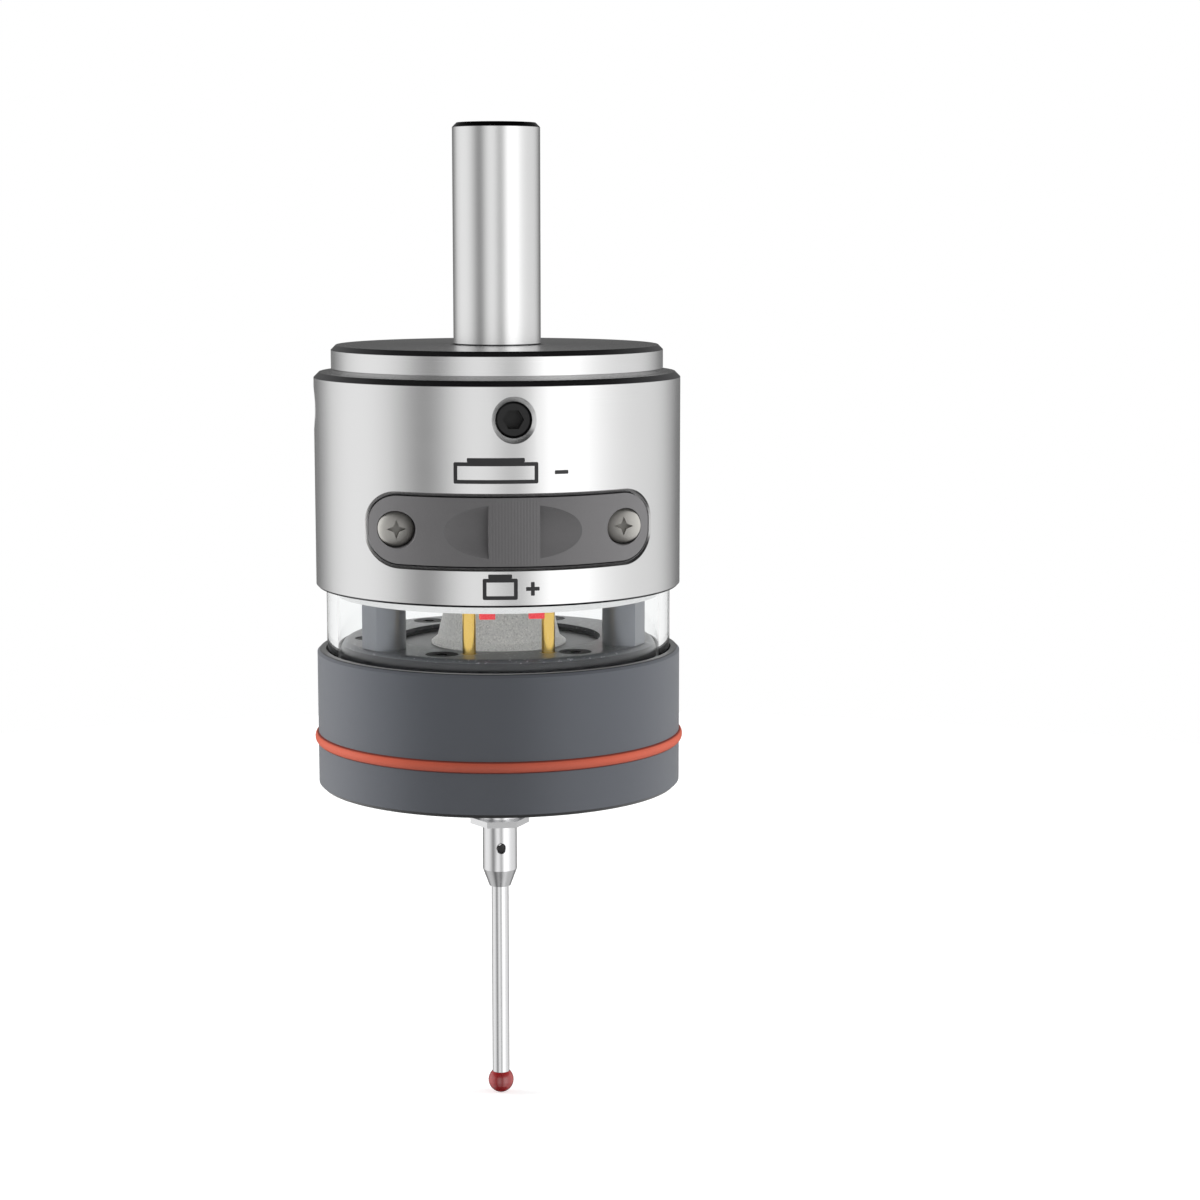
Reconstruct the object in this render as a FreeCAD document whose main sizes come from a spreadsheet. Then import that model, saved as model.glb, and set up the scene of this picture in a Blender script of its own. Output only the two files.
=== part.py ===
import FreeCAD, Part
import math
import os
import Sketcher

# Optical edge finder: a 10 mm shank on a centred flange, a steel housing with a coin cell
# behind a screwed cover, a clear window with warning lights, and a lower housing whose
# sprung stylus lifts and tilts when its ruby ball touches the work.
# Millimetres. The origin is on the axis where the shank meets the flange, +Z runs up the
# shank, and the battery cover faces -Y.

doc = FreeCAD.newDocument("OpticalEdgeFinder")
sheet = doc.addObject("Spreadsheet::Sheet", "sizes")

DRIVING_SIZES = [
    # Shank
    ("shank_diameter", 10.0, "ground shank, held in a collet"),
    ("shank_length", 25.0, "above the flange"),
    ("tenon_diameter", 9.0, "pressed into the flange"),
    ("tenon_length", 9.5, ""),
    ("shank_chamfer", 0.5, "both ends"),
    ("centre_hole_diameter", 2.0, "grinding centre in the shank end"),
    ("centre_hole_depth", 3.0, "grinding centre in the shank end"),
    # Flange
    ("flange_step", 2.0, "in from the housing's side"),
    ("flange_thickness", 3.05, "disc under the shank"),
    ("flange_top_chamfer", 0.55, ""),
    ("flange_bottom_chamfer", 0.45, ""),
    ("foot_groove_width", 0.75, "relief round the foot of the shank"),
    ("foot_groove_depth", 0.12, ""),
    ("spigot_diameter", 24.0, "part of the flange inside the housing"),
    ("spigot_length", 8.05, ""),
    ("spigot_chamfer", 0.4, ""),
    ("spigot_groove_depth", 0.9, "vee groove for the centring screws"),
    ("fit_gap", 0.01, "pressed and screwed fits"),
    ("running_gap", 0.03, "sliding and turning fits, on the radius"),
    # Upper housing
    ("body_diameter", 42.0, "both housings"),
    ("housing_height", 24.49, "upper housing without its locating lip"),
    ("housing_top_chamfer", 0.6, ""),
    ("housing_foot_chamfer", 0.25, ""),
    ("centring_clearance", 0.4, "between the spigot and its bore, on the radius"),
    ("spigot_floor_gap", 0.4, "under the spigot"),
    ("lip_gap", 0.25, "between the locating lip and the window"),
    ("lip_wall", 0.8, "round the circuit board"),
    ("lip_height", 1.0, ""),
    ("bay_to_post", 2.6, "from the posts in to the room above the circuit board"),
    ("component_bay_height", 3.6, ""),
    # Centring screws
    ("set_screw_diameter", 4.0, "M4"),
    ("set_screw_recess", 0.85, "outer end below the housing's side"),
    ("set_screw_drop", 4.18, "axis below the top face of the housing"),
    ("set_screw_socket", 2.0, "hexagon across flats"),
    ("set_screw_socket_depth", 2.0, ""),
    ("set_screw_mouth", 5.1, "countersink in the housing"),
    ("set_screw_chamfer", 0.25, ""),
    # Battery cover
    ("door_height", 7.75, "pocket for the cover"),
    ("door_drop", 16.3, "centre below the top face of the housing"),
    ("door_corner_radius", 3.3, ""),
    ("door_end_depth", 1.2, "of the pocket at its two ends"),
    ("door_bevel", 0.35, "round the mouth of the pocket"),
    ("cover_gap", 0.15, "round the cover"),
    ("cover_set_in", 0.15, "cover face below the housing's surface"),
    ("ridge_width", 5.6, "finger ridge across the cover"),
    ("scoop_height", 6.1, "finger scoops beside the ridge"),
    ("scoop_depth", 1.4, ""),
    ("cover_hollow_width", 16.0, "hollow behind the cover's face"),
    ("cover_hollow_height", 3.8, ""),
    ("cover_hollow_depth", 3.2, ""),
    ("cover_screw_wall", 0.72, "between a cover screw and the slot for the battery"),
    ("cover_screw_inset", 3.1, "from the ends of the pocket"),
    ("cover_screw_diameter", 2.0, "M2"),
    ("cover_screw_reach", 5.8, "below the head"),
    ("cover_screw_head", 3.95, "pan head"),
    ("cover_screw_head_height", 1.25, ""),
    ("cover_screw_rise", 2.07, "spot face above the pocket's floor"),
    ("cover_screw_spot", 4.15, "spot face diameter"),
    ("star_recess_reach", 1.05, "four-pointed recess in the pan head, centre to point"),
    ("star_recess_waist", 0.3, "centre to an inner corner, both ways"),
    ("star_recess_depth", 0.8, ""),
    # Battery and its sleeve
    ("cell_diameter", 20.0, "coin cell"),
    ("cell_thickness", 3.2, ""),
    ("cell_cap_diameter", 17.6, "raised negative cap"),
    ("cell_cap_height", 0.25, ""),
    ("cell_end_gap", 0.1, "between the cell and the cover"),
    ("cell_side_gap", 0.25, ""),
    ("contact_space", 0.3, "above and below the cell"),
    ("sleeve_wall", 0.5, ""),
    ("sleeve_gap", 0.05, "in the housing's slot"),
    ("contact_thickness", 0.2, "spring strip"),
    ("contact_width", 4.0, ""),
    ("contact_reach", 8.5, "free end in front of the axis"),
    ("contact_end_space", 1.5, "room for the strips behind the cell"),
    ("tail_slot_width", 6.4, "way down to the circuit board"),
    ("tail_slot_depth", 1.0, ""),
    # Circuit board and lights
    ("board_thickness", 1.6, ""),
    ("board_gap", 0.1, "round the board"),
    ("light_length", 1.7, "small red light"),
    ("light_width", 1.0, ""),
    ("light_height", 0.76, ""),
    ("light_inset", 0.7, "from the edge of the board"),
    ("light_pair_spacing", 5.4, "two lights of a pair"),
    # Window
    ("window_gap", 7.36, "between the two housings"),
    ("window_step", 1.15, "in from the housing's side"),
    ("window_wall", 1.2, ""),
    ("window_chamfer", 0.15, ""),
    # Posts and pins
    ("post_diameter", 4.8, ""),
    ("post_inset", 2.7, "from the edge of the base plate"),
    ("post_flat", 1.9, "distance of the outer flat from the post's axis"),
    ("post_stud_diameter", 3.0, "thread into the upper housing"),
    ("post_stud_length", 4.8, ""),
    ("board_hole_gap", 0.1, "round studs, on the radius"),
    ("small_screw_diameter", 2.0, "M2 countersunk"),
    ("small_screw_head", 3.7, ""),
    ("post_screw_reach", 3.0, "into the post"),
    ("small_socket", 1.2, "hexagon across flats"),
    ("small_socket_depth", 0.6, ""),
    ("pin_diameter", 1.5, "brass pins between board and plate"),
    ("pin_to_screw", 3.0, "sideways from the nearest plate screw"),
    ("pin_inset", 5.3, "from the edge of the base plate"),
    ("bush_diameter", 2.0, "insulator round each pin"),
    # Base plate
    ("plate_stand", 1.15, "plate's top above the rim"),
    ("plate_gap", 0.35, "inside the window"),
    ("plate_edge_radius", 1.1, ""),
    ("plate_recess_inset", 6.5, "shallow recess round the diffuser"),
    ("plate_recess_depth", 0.7, ""),
    ("plate_foot_step", 0.05, "out from the window that stands on it"),
    ("window_sunk", 1.1, "window below the rim"),
    ("plate_foot_thickness", 1.9, ""),
    ("plate_hub_diameter", 6.0, "guide for the plunger"),
    ("plate_hub_length", 2.0, ""),
    ("spring_bay_diameter", 15.2, "counterbore for the spring"),
    ("spring_bay_roof", 0.8, "plate left over the spring"),
    ("plate_screw_inset", 3.5, "from the edge of the base plate"),
    ("plate_screw_reach", 7.0, ""),
    # Diffuser
    ("diffuser_foot_diameter", 15.6, ""),
    ("diffuser_waist_diameter", 14.2, "above its flared foot"),
    ("diffuser_foot_height", 0.8, ""),
    ("diffuser_top_diameter", 12.2, ""),
    ("diffuser_height", 4.9, ""),
    ("diffuser_wall", 1.0, ""),
    # Lower housing
    ("lower_height", 15.95, ""),
    ("rim_chamfer", 0.35, ""),
    ("rim_gap", 0.1, "round the foot of the base plate"),
    ("bore_to_screw", 1.8, "from the plate screws in to the bore of the mechanism"),
    ("floor_thickness", 2.86, ""),
    ("stylus_hole_diameter", 8.4, ""),
    ("stylus_hole_chamfer", 0.3, ""),
    ("lower_foot_chamfer", 0.4, ""),
    ("cord_diameter", 1.5, "orange bumper ring"),
    ("cord_drop", 10.27, "below the rim"),
    ("cord_proud", 0.38, "beyond the housing"),
    # Mechanism
    ("pivot_height", 5.3, "tilt centre above the floor"),
    ("pivot_ball_diameter", 3.2, ""),
    ("plunger_diameter", 3.0, ""),
    ("plunger_top_drop", 1.2, "top of the plunger below the diffuser's roof and its travel"),
    ("plunger_travel", 1.8, "lift of the stylus"),
    ("plunger_plate_diameter", 14.4, "spring plate"),
    ("plunger_plate_thickness", 0.8, ""),
    ("plunger_plate_rise", 2.15, "underside above the tilt centre"),
    ("plunger_nose_diameter", 4.0, ""),
    ("plunger_nose_rise", 1.1, "end above the tilt centre"),
    ("spring_wire", 0.6, ""),
    ("spring_coil_diameter", 13.0, "middle of the wire"),
    ("spring_turns", 3.0, ""),
    ("carrier_gap", 0.5, "inside the ball ring"),
    ("carrier_rise", 0.9, "top above the tilt centre"),
    ("carrier_depth", 1.1, "underside below the tilt centre"),
    ("carrier_socket_diameter", 5.8, ""),
    ("carrier_socket_depth", 0.9, "floor below the tilt centre"),
    ("hub_ball_diameter", 10.4, "spherical underside of the carrier"),
    ("neck_diameter", 5.0, ""),
    ("neck_reach", 5.18, "end of the neck below the lower housing"),
    ("neck_hexagon", 6.0, "across flats, for a spanner"),
    ("neck_hexagon_thickness", 0.72, ""),
    ("rod_diameter", 1.6, "contact rods"),
    ("rod_inner_radius", 4.9, ""),
    ("rod_end_gap", 0.8, "between the rods and the bore"),
    ("seat_ball_diameter", 2.5, "contact balls"),
    ("seat_ball_inset", 2.0, "from the bore"),
    ("rod_side_gap", 0.2, "between a rod and its balls"),
    ("ball_ring_gap", 0.1, "in the bore"),
    ("ball_ring_step", 1.7, "from the balls in to the ring's bore"),
    ("ball_ring_height", 2.5, ""),
    ("ball_boss_drop", 0.5, "top of a boss below the ball's middle"),
    ("seat_ring_outer_diameter", 13.0, "hardened seat of the hub"),
    ("seat_ring_bore", 7.6, ""),
    ("seat_ring_drop", 2.5, "top below the tilt centre"),
    ("seat_ring_sunk", 0.8, "in the floor"),
    # Stylus
    ("holder_diameter", 4.0, ""),
    ("holder_length", 5.45, "straight part below the neck"),
    ("holder_cone_length", 2.02, ""),
    ("holder_nose_diameter", 2.5, ""),
    ("holder_thread_diameter", 2.5, "M2.5 in the neck"),
    ("holder_thread_length", 4.6, ""),
    ("cross_hole_diameter", 1.0, "for a tommy bar"),
    ("cross_hole_mouth", 1.3, ""),
    ("cross_hole_drop", 2.69, "below the neck"),
    ("stem_diameter", 2.0, ""),
    ("stem_sunk", 3.2, "in the holder"),
    ("ball_diameter", 3.0, "ruby"),
    ("ball_drop", 87.28, "ball's middle below the flange's top face"),
    ("ball_bore_depth", 0.95, "stem in the ball"),
]

for row, (alias, value, note) in enumerate(DRIVING_SIZES, start=1):
    sheet.set(f"A{row}", alias)
    sheet.set(f"B{row}", str(value))
    sheet.setAlias(f"B{row}", alias)
    sheet.set(f"C{row}", note)
doc.recompute()


class Size:
    """A length or angle: its value now, and the expression that keeps it tied to the sheet."""

    def __init__(self, value, text):
        self.value = value
        self.text = text

    def __add__(self, other):
        other = as_size(other)
        return Size(self.value + other.value, f"({self.text} + {other.text})")

    def __sub__(self, other):
        other = as_size(other)
        return Size(self.value - other.value, f"({self.text} - {other.text})")

    def __mul__(self, other):
        other = as_size(other)
        return Size(self.value * other.value, f"({self.text} * {other.text})")

    def __truediv__(self, other):
        other = as_size(other)
        return Size(self.value / other.value, f"({self.text} / {other.text})")

    def __neg__(self):
        return Size(-self.value, f"(-1 * {self.text})")


def as_size(number):
    return number if isinstance(number, Size) else Size(float(number), str(float(number)))


def root(size):
    return Size(math.sqrt(size.value), f"sqrt({size.text})")


def sine(degrees):
    return Size(math.sin(math.radians(degrees)), f"sin({degrees} deg)")


def cosine(degrees):
    return Size(math.cos(math.radians(degrees)), f"cos({degrees} deg)")


class Sheet:
    """Reads a driving dimension by its alias."""

    def __getattr__(self, alias):
        return Size(float(sheet.get(alias)), "sizes." + alias)


s = Sheet()
ZERO = as_size(0)
THIRDS = (0, 120, 240)

# Levels along the axis, from the flange down to the ruby ball
housing_top = -s.flange_thickness
spigot_bottom = housing_top - s.spigot_length
set_screw_level = housing_top - s.set_screw_drop
door_level = housing_top - s.door_drop
housing_bottom = housing_top - s.housing_height
lip_bottom = housing_bottom - s.lip_height
board_top = lip_bottom + s.board_thickness
bay_top = board_top + s.component_bay_height
rim_top = housing_bottom - s.window_gap
plate_top = rim_top + s.plate_stand
recess_floor = plate_top - s.plate_recess_depth
window_bottom = rim_top - s.window_sunk
plate_bottom = window_bottom - s.plate_foot_thickness
spring_top = recess_floor - s.spring_bay_roof
lower_bottom = rim_top - s.lower_height
cavity_floor = lower_bottom + s.floor_thickness
pivot_level = cavity_floor + s.pivot_height
spring_bottom = pivot_level + s.plunger_plate_rise + s.plunger_plate_thickness
neck_end = lower_bottom - s.neck_reach
holder_end = neck_end - s.holder_length - s.holder_cone_length
ball_level = -s.ball_drop

# Radii that several pieces share, from the housing's side inwards
body_radius = s.body_diameter / 2
spigot_bore_radius = s.spigot_diameter / 2 + s.centring_clearance
window_outer_radius = body_radius - s.window_step
window_bore_radius = window_outer_radius - s.window_wall
lip_radius = window_bore_radius - s.lip_gap
board_recess_radius = lip_radius - s.lip_wall
board_radius = board_recess_radius - s.board_gap
plate_edge = window_bore_radius - s.plate_gap
plate_foot_radius = window_outer_radius + s.plate_foot_step
rim_bore_radius = plate_foot_radius + s.rim_gap
post_circle = plate_edge - s.post_inset
plate_screw_circle = plate_edge - s.plate_screw_inset
pin_setback = plate_edge - s.pin_inset
pin_offset = plate_screw_circle * sine(30) - s.pin_to_screw
bore_radius = plate_screw_circle - s.bore_to_screw
seat_ball_circle = bore_radius - s.seat_ball_inset
ball_ring_bore = seat_ball_circle - s.ball_ring_step
rod_outer_radius = bore_radius - s.rod_end_gap

# Places of the cover, its screws and the cell
slot_half_height = s.cell_thickness / 2 + s.contact_space
sleeve_half_height = slot_half_height + s.sleeve_wall
cell_bay_radius = s.cell_diameter / 2 + s.cell_side_gap
sleeve_radius = cell_bay_radius + s.sleeve_wall
slot_radius = sleeve_radius + s.sleeve_gap
cover_screw_offset = slot_radius + s.cover_screw_wall + s.cover_screw_diameter / 2
half_door = cover_screw_offset + s.cover_screw_inset
door_floor = root(body_radius * body_radius - half_door * half_door) - s.door_end_depth
cover_screw_seat = door_floor + s.cover_screw_rise
cell_centre = s.cell_diameter / 2 + s.cell_end_gap - door_floor
tail_bay_back = cell_centre + s.cell_diameter / 2 + s.contact_end_space
tail_front = tail_bay_back - s.tail_slot_depth


def origin_feature(body, role):
    return next(item for item in body.Origin.OriginFeatures if item.Role == role)


def new_body(label):
    body = doc.addObject("PartDesign::Body", "Body")
    body.Label = label
    return body


def new_sketch(body, plane, x=ZERO, y=ZERO, lift=ZERO):
    """Sketch on an origin plane, moved in the plane by x and y and along its normal by lift."""
    sketch = body.newObject("Sketcher::SketchObject", "Sketch")
    sketch.AttachmentSupport = [(origin_feature(body, plane), "")]
    sketch.MapMode = "FlatFace"
    for name, size in (("x", x), ("y", y), ("z", lift)):
        if size is not ZERO:
            sketch.setExpression("AttachmentOffset.Base." + name, size.text)
    return sketch


def pin_point(sketch, element, end, x, y):
    """Hold one point of a sketch at x, y."""
    for kind, size, axis in (("DistanceX", x, -2), ("DistanceY", y, -1)):
        if size is ZERO:
            sketch.addConstraint(Sketcher.Constraint("PointOnObject", element, end, axis))
        else:
            index = sketch.addConstraint(Sketcher.Constraint(kind, -1, 1, element, end, size.value))
            sketch.setExpression(f"Constraints[{index}]", size.text)


def add_outline(sketch, corners):
    """Closed run of straight lines through the corners."""
    corners = [(x if x is ZERO else as_size(x), y if y is ZERO else as_size(y)) for x, y in corners]
    points = [FreeCAD.Vector(x.value, y.value, 0) for x, y in corners]
    first = sketch.GeometryCount
    count = len(points)
    for index in range(count):
        sketch.addGeometry(Part.LineSegment(points[index], points[(index + 1) % count]), False)
    for index in range(count):
        following = first + (index + 1) % count
        sketch.addConstraint(Sketcher.Constraint("Coincident", first + index, 2, following, 1))
        pin_point(sketch, first + index, 1, *corners[index])


def add_rectangle(sketch, left, right, low, high):
    add_outline(sketch, [(left, low), (right, low), (right, high), (left, high)])


def add_hexagon(sketch, across_flats):
    corner_radius = across_flats / root(as_size(3))
    angles = [60 * index for index in range(6)]
    add_outline(sketch, [(corner_radius * cosine(a), corner_radius * sine(a)) for a in angles])


def add_circle(sketch, x, y, radius):
    centre = FreeCAD.Vector(x.value, y.value, 0)
    index = sketch.addGeometry(Part.Circle(centre, FreeCAD.Vector(0, 0, 1), radius.value), False)
    pin_point(sketch, index, 3, x, y)
    constraint = sketch.addConstraint(Sketcher.Constraint("Radius", index, radius.value))
    sketch.setExpression(f"Constraints[{constraint}]", radius.text)


def add_rounded_rectangle(sketch, half_width, half_height, radius):
    """Rectangle about the sketch's origin with round corners that run tangent into its sides."""
    across, up, turn = half_width.value, half_height.value, radius.value
    flat_x, flat_y = across - turn, up - turn
    normal = FreeCAD.Vector(0, 0, 1)
    sides = [((-flat_x, -up), (flat_x, -up)), ((across, -flat_y), (across, flat_y)),
             ((flat_x, up), (-flat_x, up)), ((-across, flat_y), (-across, -flat_y))]
    middles = [(flat_x, -flat_y), (flat_x, flat_y), (-flat_x, flat_y), (-flat_x, -flat_y)]
    for index in range(4):
        start, end = sides[index]
        sketch.addGeometry(Part.LineSegment(FreeCAD.Vector(*start, 0), FreeCAD.Vector(*end, 0)), False)
        circle = Part.Circle(FreeCAD.Vector(*middles[index], 0), normal, turn)
        start_angle = math.radians(90 * index - 90)
        sketch.addGeometry(Part.ArcOfCircle(circle, start_angle, start_angle + math.pi / 2), False)
    for index in range(4):
        line, arc, following = 2 * index, 2 * index + 1, (2 * index + 2) % 8
        sketch.addConstraint(Sketcher.Constraint("Tangent", line, 2, arc, 1))
        sketch.addConstraint(Sketcher.Constraint("Tangent", arc, 2, following, 1))
        if index:
            sketch.addConstraint(Sketcher.Constraint("Equal", 1, arc))
    for line, kind in ((0, "Horizontal"), (2, "Vertical"), (4, "Horizontal"), (6, "Vertical")):
        sketch.addConstraint(Sketcher.Constraint(kind, line))
    for line, kind, size in ((0, "DistanceY", -half_height), (4, "DistanceY", half_height),
                             (2, "DistanceX", half_width), (6, "DistanceX", -half_width)):
        index = sketch.addConstraint(Sketcher.Constraint(kind, -1, 1, line, 1, size.value))
        sketch.setExpression(f"Constraints[{index}]", size.text)
    index = sketch.addConstraint(Sketcher.Constraint("Radius", 1, turn))
    sketch.setExpression(f"Constraints[{index}]", radius.text)


def extrude(body, kind, sketch, length, both_ways=False):
    """Pad along the sketch's normal, or pocket against it."""
    feature = body.newObject("PartDesign::" + kind, kind)
    feature.Profile = sketch
    feature.setExpression("Length", length.text)
    if both_ways:
        feature.SideType = "Symmetric"
    return feature


def revolve(body, kind, sketch, axis="V_Axis"):
    feature = body.newObject("PartDesign::" + kind, kind)
    feature.Profile = sketch
    feature.ReferenceAxis = (sketch, [axis])
    feature.Angle = 360
    return feature


def add_ball(body, kind, radius, x=ZERO, y=ZERO, level=ZERO):
    ball = body.newObject("PartDesign::" + kind + "Sphere", "Ball")
    ball.setExpression("Radius", radius.text)
    for name, size in (("x", x), ("y", y), ("z", level)):
        if size is not ZERO:
            ball.setExpression("Placement.Base." + name, size.text)
    return ball


def repeat(body, features, count):
    """The features in equal steps round the main axis."""
    pattern = body.newObject("PartDesign::PolarPattern", "Pattern")
    pattern.Originals = features
    pattern.Axis = (origin_feature(body, "Z_Axis"), [""])
    pattern.Angle = 360
    pattern.Occurrences = count
    body.Tip = pattern
    return pattern


def turned(label, corners):
    """A piece turned about the main axis from its half outline."""
    body = new_body(label)
    sketch = new_sketch(body, "XZ_Plane")
    add_outline(sketch, corners)
    revolve(body, "Revolution", sketch)
    return body


def turn_to(body, degrees):
    axis = FreeCAD.Vector(0, 0, 1)
    body.Placement = FreeCAD.Placement(FreeCAD.Vector(0, 0, 0), FreeCAD.Rotation(axis, degrees))


def drill(body, x, y, top, radius, depth):
    """Straight round hole from a level down."""
    sketch = new_sketch(body, "XY_Plane", lift=top)
    add_circle(sketch, x, y, radius)
    return extrude(body, "Pocket", sketch, depth)


def around(radius, degrees):
    """Place on a circle about the axis, counted from the front."""
    return radius * sine(degrees), -(radius * cosine(degrees))


def turned_point(x, y, degrees):
    """The point x, y turned about the axis."""
    across, along = cosine(degrees), sine(degrees)
    return x * across - y * along, x * along + y * across


def make_shank():
    radius = s.shank_diameter / 2
    drill_radius = s.centre_hole_diameter / 2
    mouth_radius = drill_radius * 1.65
    cone_depth = (mouth_radius - drill_radius) * root(as_size(3))
    top = s.shank_length
    tenon = s.tenon_diameter / 2
    turned("shank", [
        (ZERO, -s.tenon_length),
        (tenon - s.shank_chamfer, -s.tenon_length),
        (tenon, s.shank_chamfer - s.tenon_length),
        (tenon, ZERO),
        (radius, ZERO),
        (radius, top - s.shank_chamfer),
        (radius - s.shank_chamfer, top),
        (mouth_radius, top),
        (drill_radius, top - cone_depth),
        (drill_radius, top - s.centre_hole_depth),
        (ZERO, top - s.centre_hole_depth - drill_radius / 2),
    ])


def make_top_flange():
    bore = s.tenon_diameter / 2 + s.fit_gap
    groove = s.shank_diameter / 2
    edge = body_radius - s.flange_step
    spigot = s.spigot_diameter / 2
    depth = s.spigot_groove_depth
    turned("top_flange", [
        (bore, ZERO),
        (groove, ZERO),
        (groove, -s.foot_groove_depth),
        (groove + s.foot_groove_width - s.foot_groove_depth, -s.foot_groove_depth),
        (groove + s.foot_groove_width, ZERO),
        (edge - s.flange_top_chamfer, ZERO),
        (edge, -s.flange_top_chamfer),
        (edge, housing_top + s.flange_bottom_chamfer),
        (edge - s.flange_bottom_chamfer, housing_top),
        (spigot, housing_top),
        (spigot, set_screw_level + depth),
        (spigot - depth, set_screw_level),
        (spigot, set_screw_level - depth),
        (spigot, spigot_bottom + s.spigot_chamfer),
        (spigot - s.spigot_chamfer, spigot_bottom),
        (bore, spigot_bottom),
    ])


def make_centering_screws():
    radius = s.set_screw_diameter / 2 - s.fit_gap
    tip = s.spigot_diameter / 2 - s.spigot_groove_depth + s.fit_gap * 5
    end = body_radius - s.set_screw_recess
    body = new_body("centering_screws")
    sketch = new_sketch(body, "YZ_Plane", y=set_screw_level)
    add_outline(sketch, [
        (-tip, ZERO),
        (-(tip + radius), radius),
        (s.set_screw_chamfer - end, radius),
        (-end, radius - s.set_screw_chamfer),
        (-end, ZERO),
    ])
    screw = revolve(body, "Revolution", sketch, "H_Axis")
    socket = new_sketch(body, "XZ_Plane", y=set_screw_level, lift=end)
    add_hexagon(socket, s.set_screw_socket)
    repeat(body, [screw, extrude(body, "Pocket", socket, s.set_screw_socket_depth)], 4)


def make_upper_housing():
    bay = post_circle - s.bay_to_post
    body = turned("upper_housing", [
        (spigot_bore_radius, housing_top),
        (body_radius - s.housing_top_chamfer, housing_top),
        (body_radius, housing_top - s.housing_top_chamfer),
        (body_radius, housing_bottom + s.housing_foot_chamfer),
        (body_radius - s.housing_foot_chamfer, housing_bottom),
        (lip_radius, housing_bottom),
        (lip_radius, lip_bottom),
        (board_recess_radius, lip_bottom),
        (board_recess_radius, board_top),
        (bay, board_top),
        (bay, bay_top),
        (ZERO, bay_top),
        (ZERO, spigot_bottom - s.spigot_floor_gap),
        (spigot_bore_radius, spigot_bottom - s.spigot_floor_gap),
    ])
    cut_screw_holes_of_housing(body)
    cut_battery_slot(body)


def cut_screw_holes_of_housing(body):
    # Four tapped holes for the centring screws, with countersunk mouths
    radius = s.set_screw_diameter / 2
    hole = new_sketch(body, "XZ_Plane", y=set_screw_level, lift=body_radius)
    add_circle(hole, ZERO, ZERO, radius)
    holes = extrude(body, "Pocket", hole, body_radius - spigot_bore_radius + radius)
    mouth_radius = s.set_screw_mouth / 2
    mouth = new_sketch(body, "YZ_Plane", y=set_screw_level)
    add_outline(mouth, [
        (-body_radius, ZERO),
        (-body_radius, mouth_radius),
        (mouth_radius - radius - body_radius, radius),
        (mouth_radius - radius - body_radius, ZERO),
    ])
    repeat(body, [holes, revolve(body, "Groove", mouth, "H_Axis")], 4)
    # Three tapped holes for the studs of the posts
    x, y = around(post_circle, 60)
    depth = s.post_stud_length - s.board_thickness
    stud = drill(body, x, y, board_top + depth, s.post_stud_diameter / 2 + s.fit_gap, depth)
    repeat(body, [stud], 3)


def cut_battery_slot(body):
    # Pocket for the cover, with a flat floor across the round housing
    door = new_sketch(body, "XZ_Plane", y=door_level, lift=body_radius)
    add_rounded_rectangle(door, half_door, s.door_height / 2, s.door_corner_radius)
    extrude(body, "Pocket", door, body_radius - door_floor)
    bevel_door_mouth(body)
    # Slot for the sleeve: straight in, round behind the cell, with a bay for the strips
    top = door_level + sleeve_half_height + s.sleeve_gap
    height = (sleeve_half_height + s.sleeve_gap) * 2
    bay_half_width = s.tail_slot_width / 2 + s.sleeve_wall + s.sleeve_gap
    bay_back = tail_bay_back + s.sleeve_wall + s.sleeve_gap
    add_slot(body, "Pocket", top, height, slot_radius, -door_floor, bay_half_width, bay_back)
    # Way down to the circuit board for the strips
    tails = new_sketch(body, "XY_Plane", lift=door_level)
    half_width = s.tail_slot_width / 2
    add_rectangle(tails, -half_width, half_width, tail_front, tail_bay_back)
    extrude(body, "Pocket", tails, door_level - board_top)
    # Two tapped holes for the cover's screws
    screws = new_sketch(body, "XZ_Plane", y=door_level, lift=door_floor)
    for side in (-1, 1):
        x = cover_screw_offset * side
        add_circle(screws, x, ZERO, s.cover_screw_diameter / 2 + s.fit_gap)
    extrude(body, "Pocket", screws, s.cover_screw_reach)


def bevel_door_mouth(body):
    """Chamfer where the cover's pocket meets the round outside of the housing."""
    doc.recompute()
    base = body.Tip
    radius, half_height = body_radius.value, s.door_height.value / 2
    names = []
    for index, edge in enumerate(base.Shape.Edges, start=1):
        points = edge.discretize(5)
        on_surface = all(abs(math.hypot(point.x, point.y) - radius) < 1e-3 for point in points)
        level_with_door = all(abs(point.z - door_level.value) < half_height + 1e-3 for point in points)
        if on_surface and level_with_door and all(point.y < 0 for point in points):
            names.append(f"Edge{index}")
    chamfer = body.newObject("PartDesign::Chamfer", "Bevel")
    chamfer.Base = (base, names)
    chamfer.setExpression("Size", s.door_bevel.text)


def add_slot(body, kind, level, height, radius, front, bay_half_width, bay_back):
    """Straight sides from the front to the cell's middle, a round end, and a bay behind it."""
    outline = new_sketch(body, "XY_Plane", lift=level)
    add_rectangle(outline, -radius, radius, front, cell_centre)
    extrude(body, kind, outline, height)
    end = new_sketch(body, "XY_Plane", lift=level)
    add_circle(end, ZERO, cell_centre, radius)
    extrude(body, kind, end, height)
    bay = new_sketch(body, "XY_Plane", lift=level)
    add_rectangle(bay, -bay_half_width, bay_half_width, cell_centre, bay_back)
    extrude(body, kind, bay, height)


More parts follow.
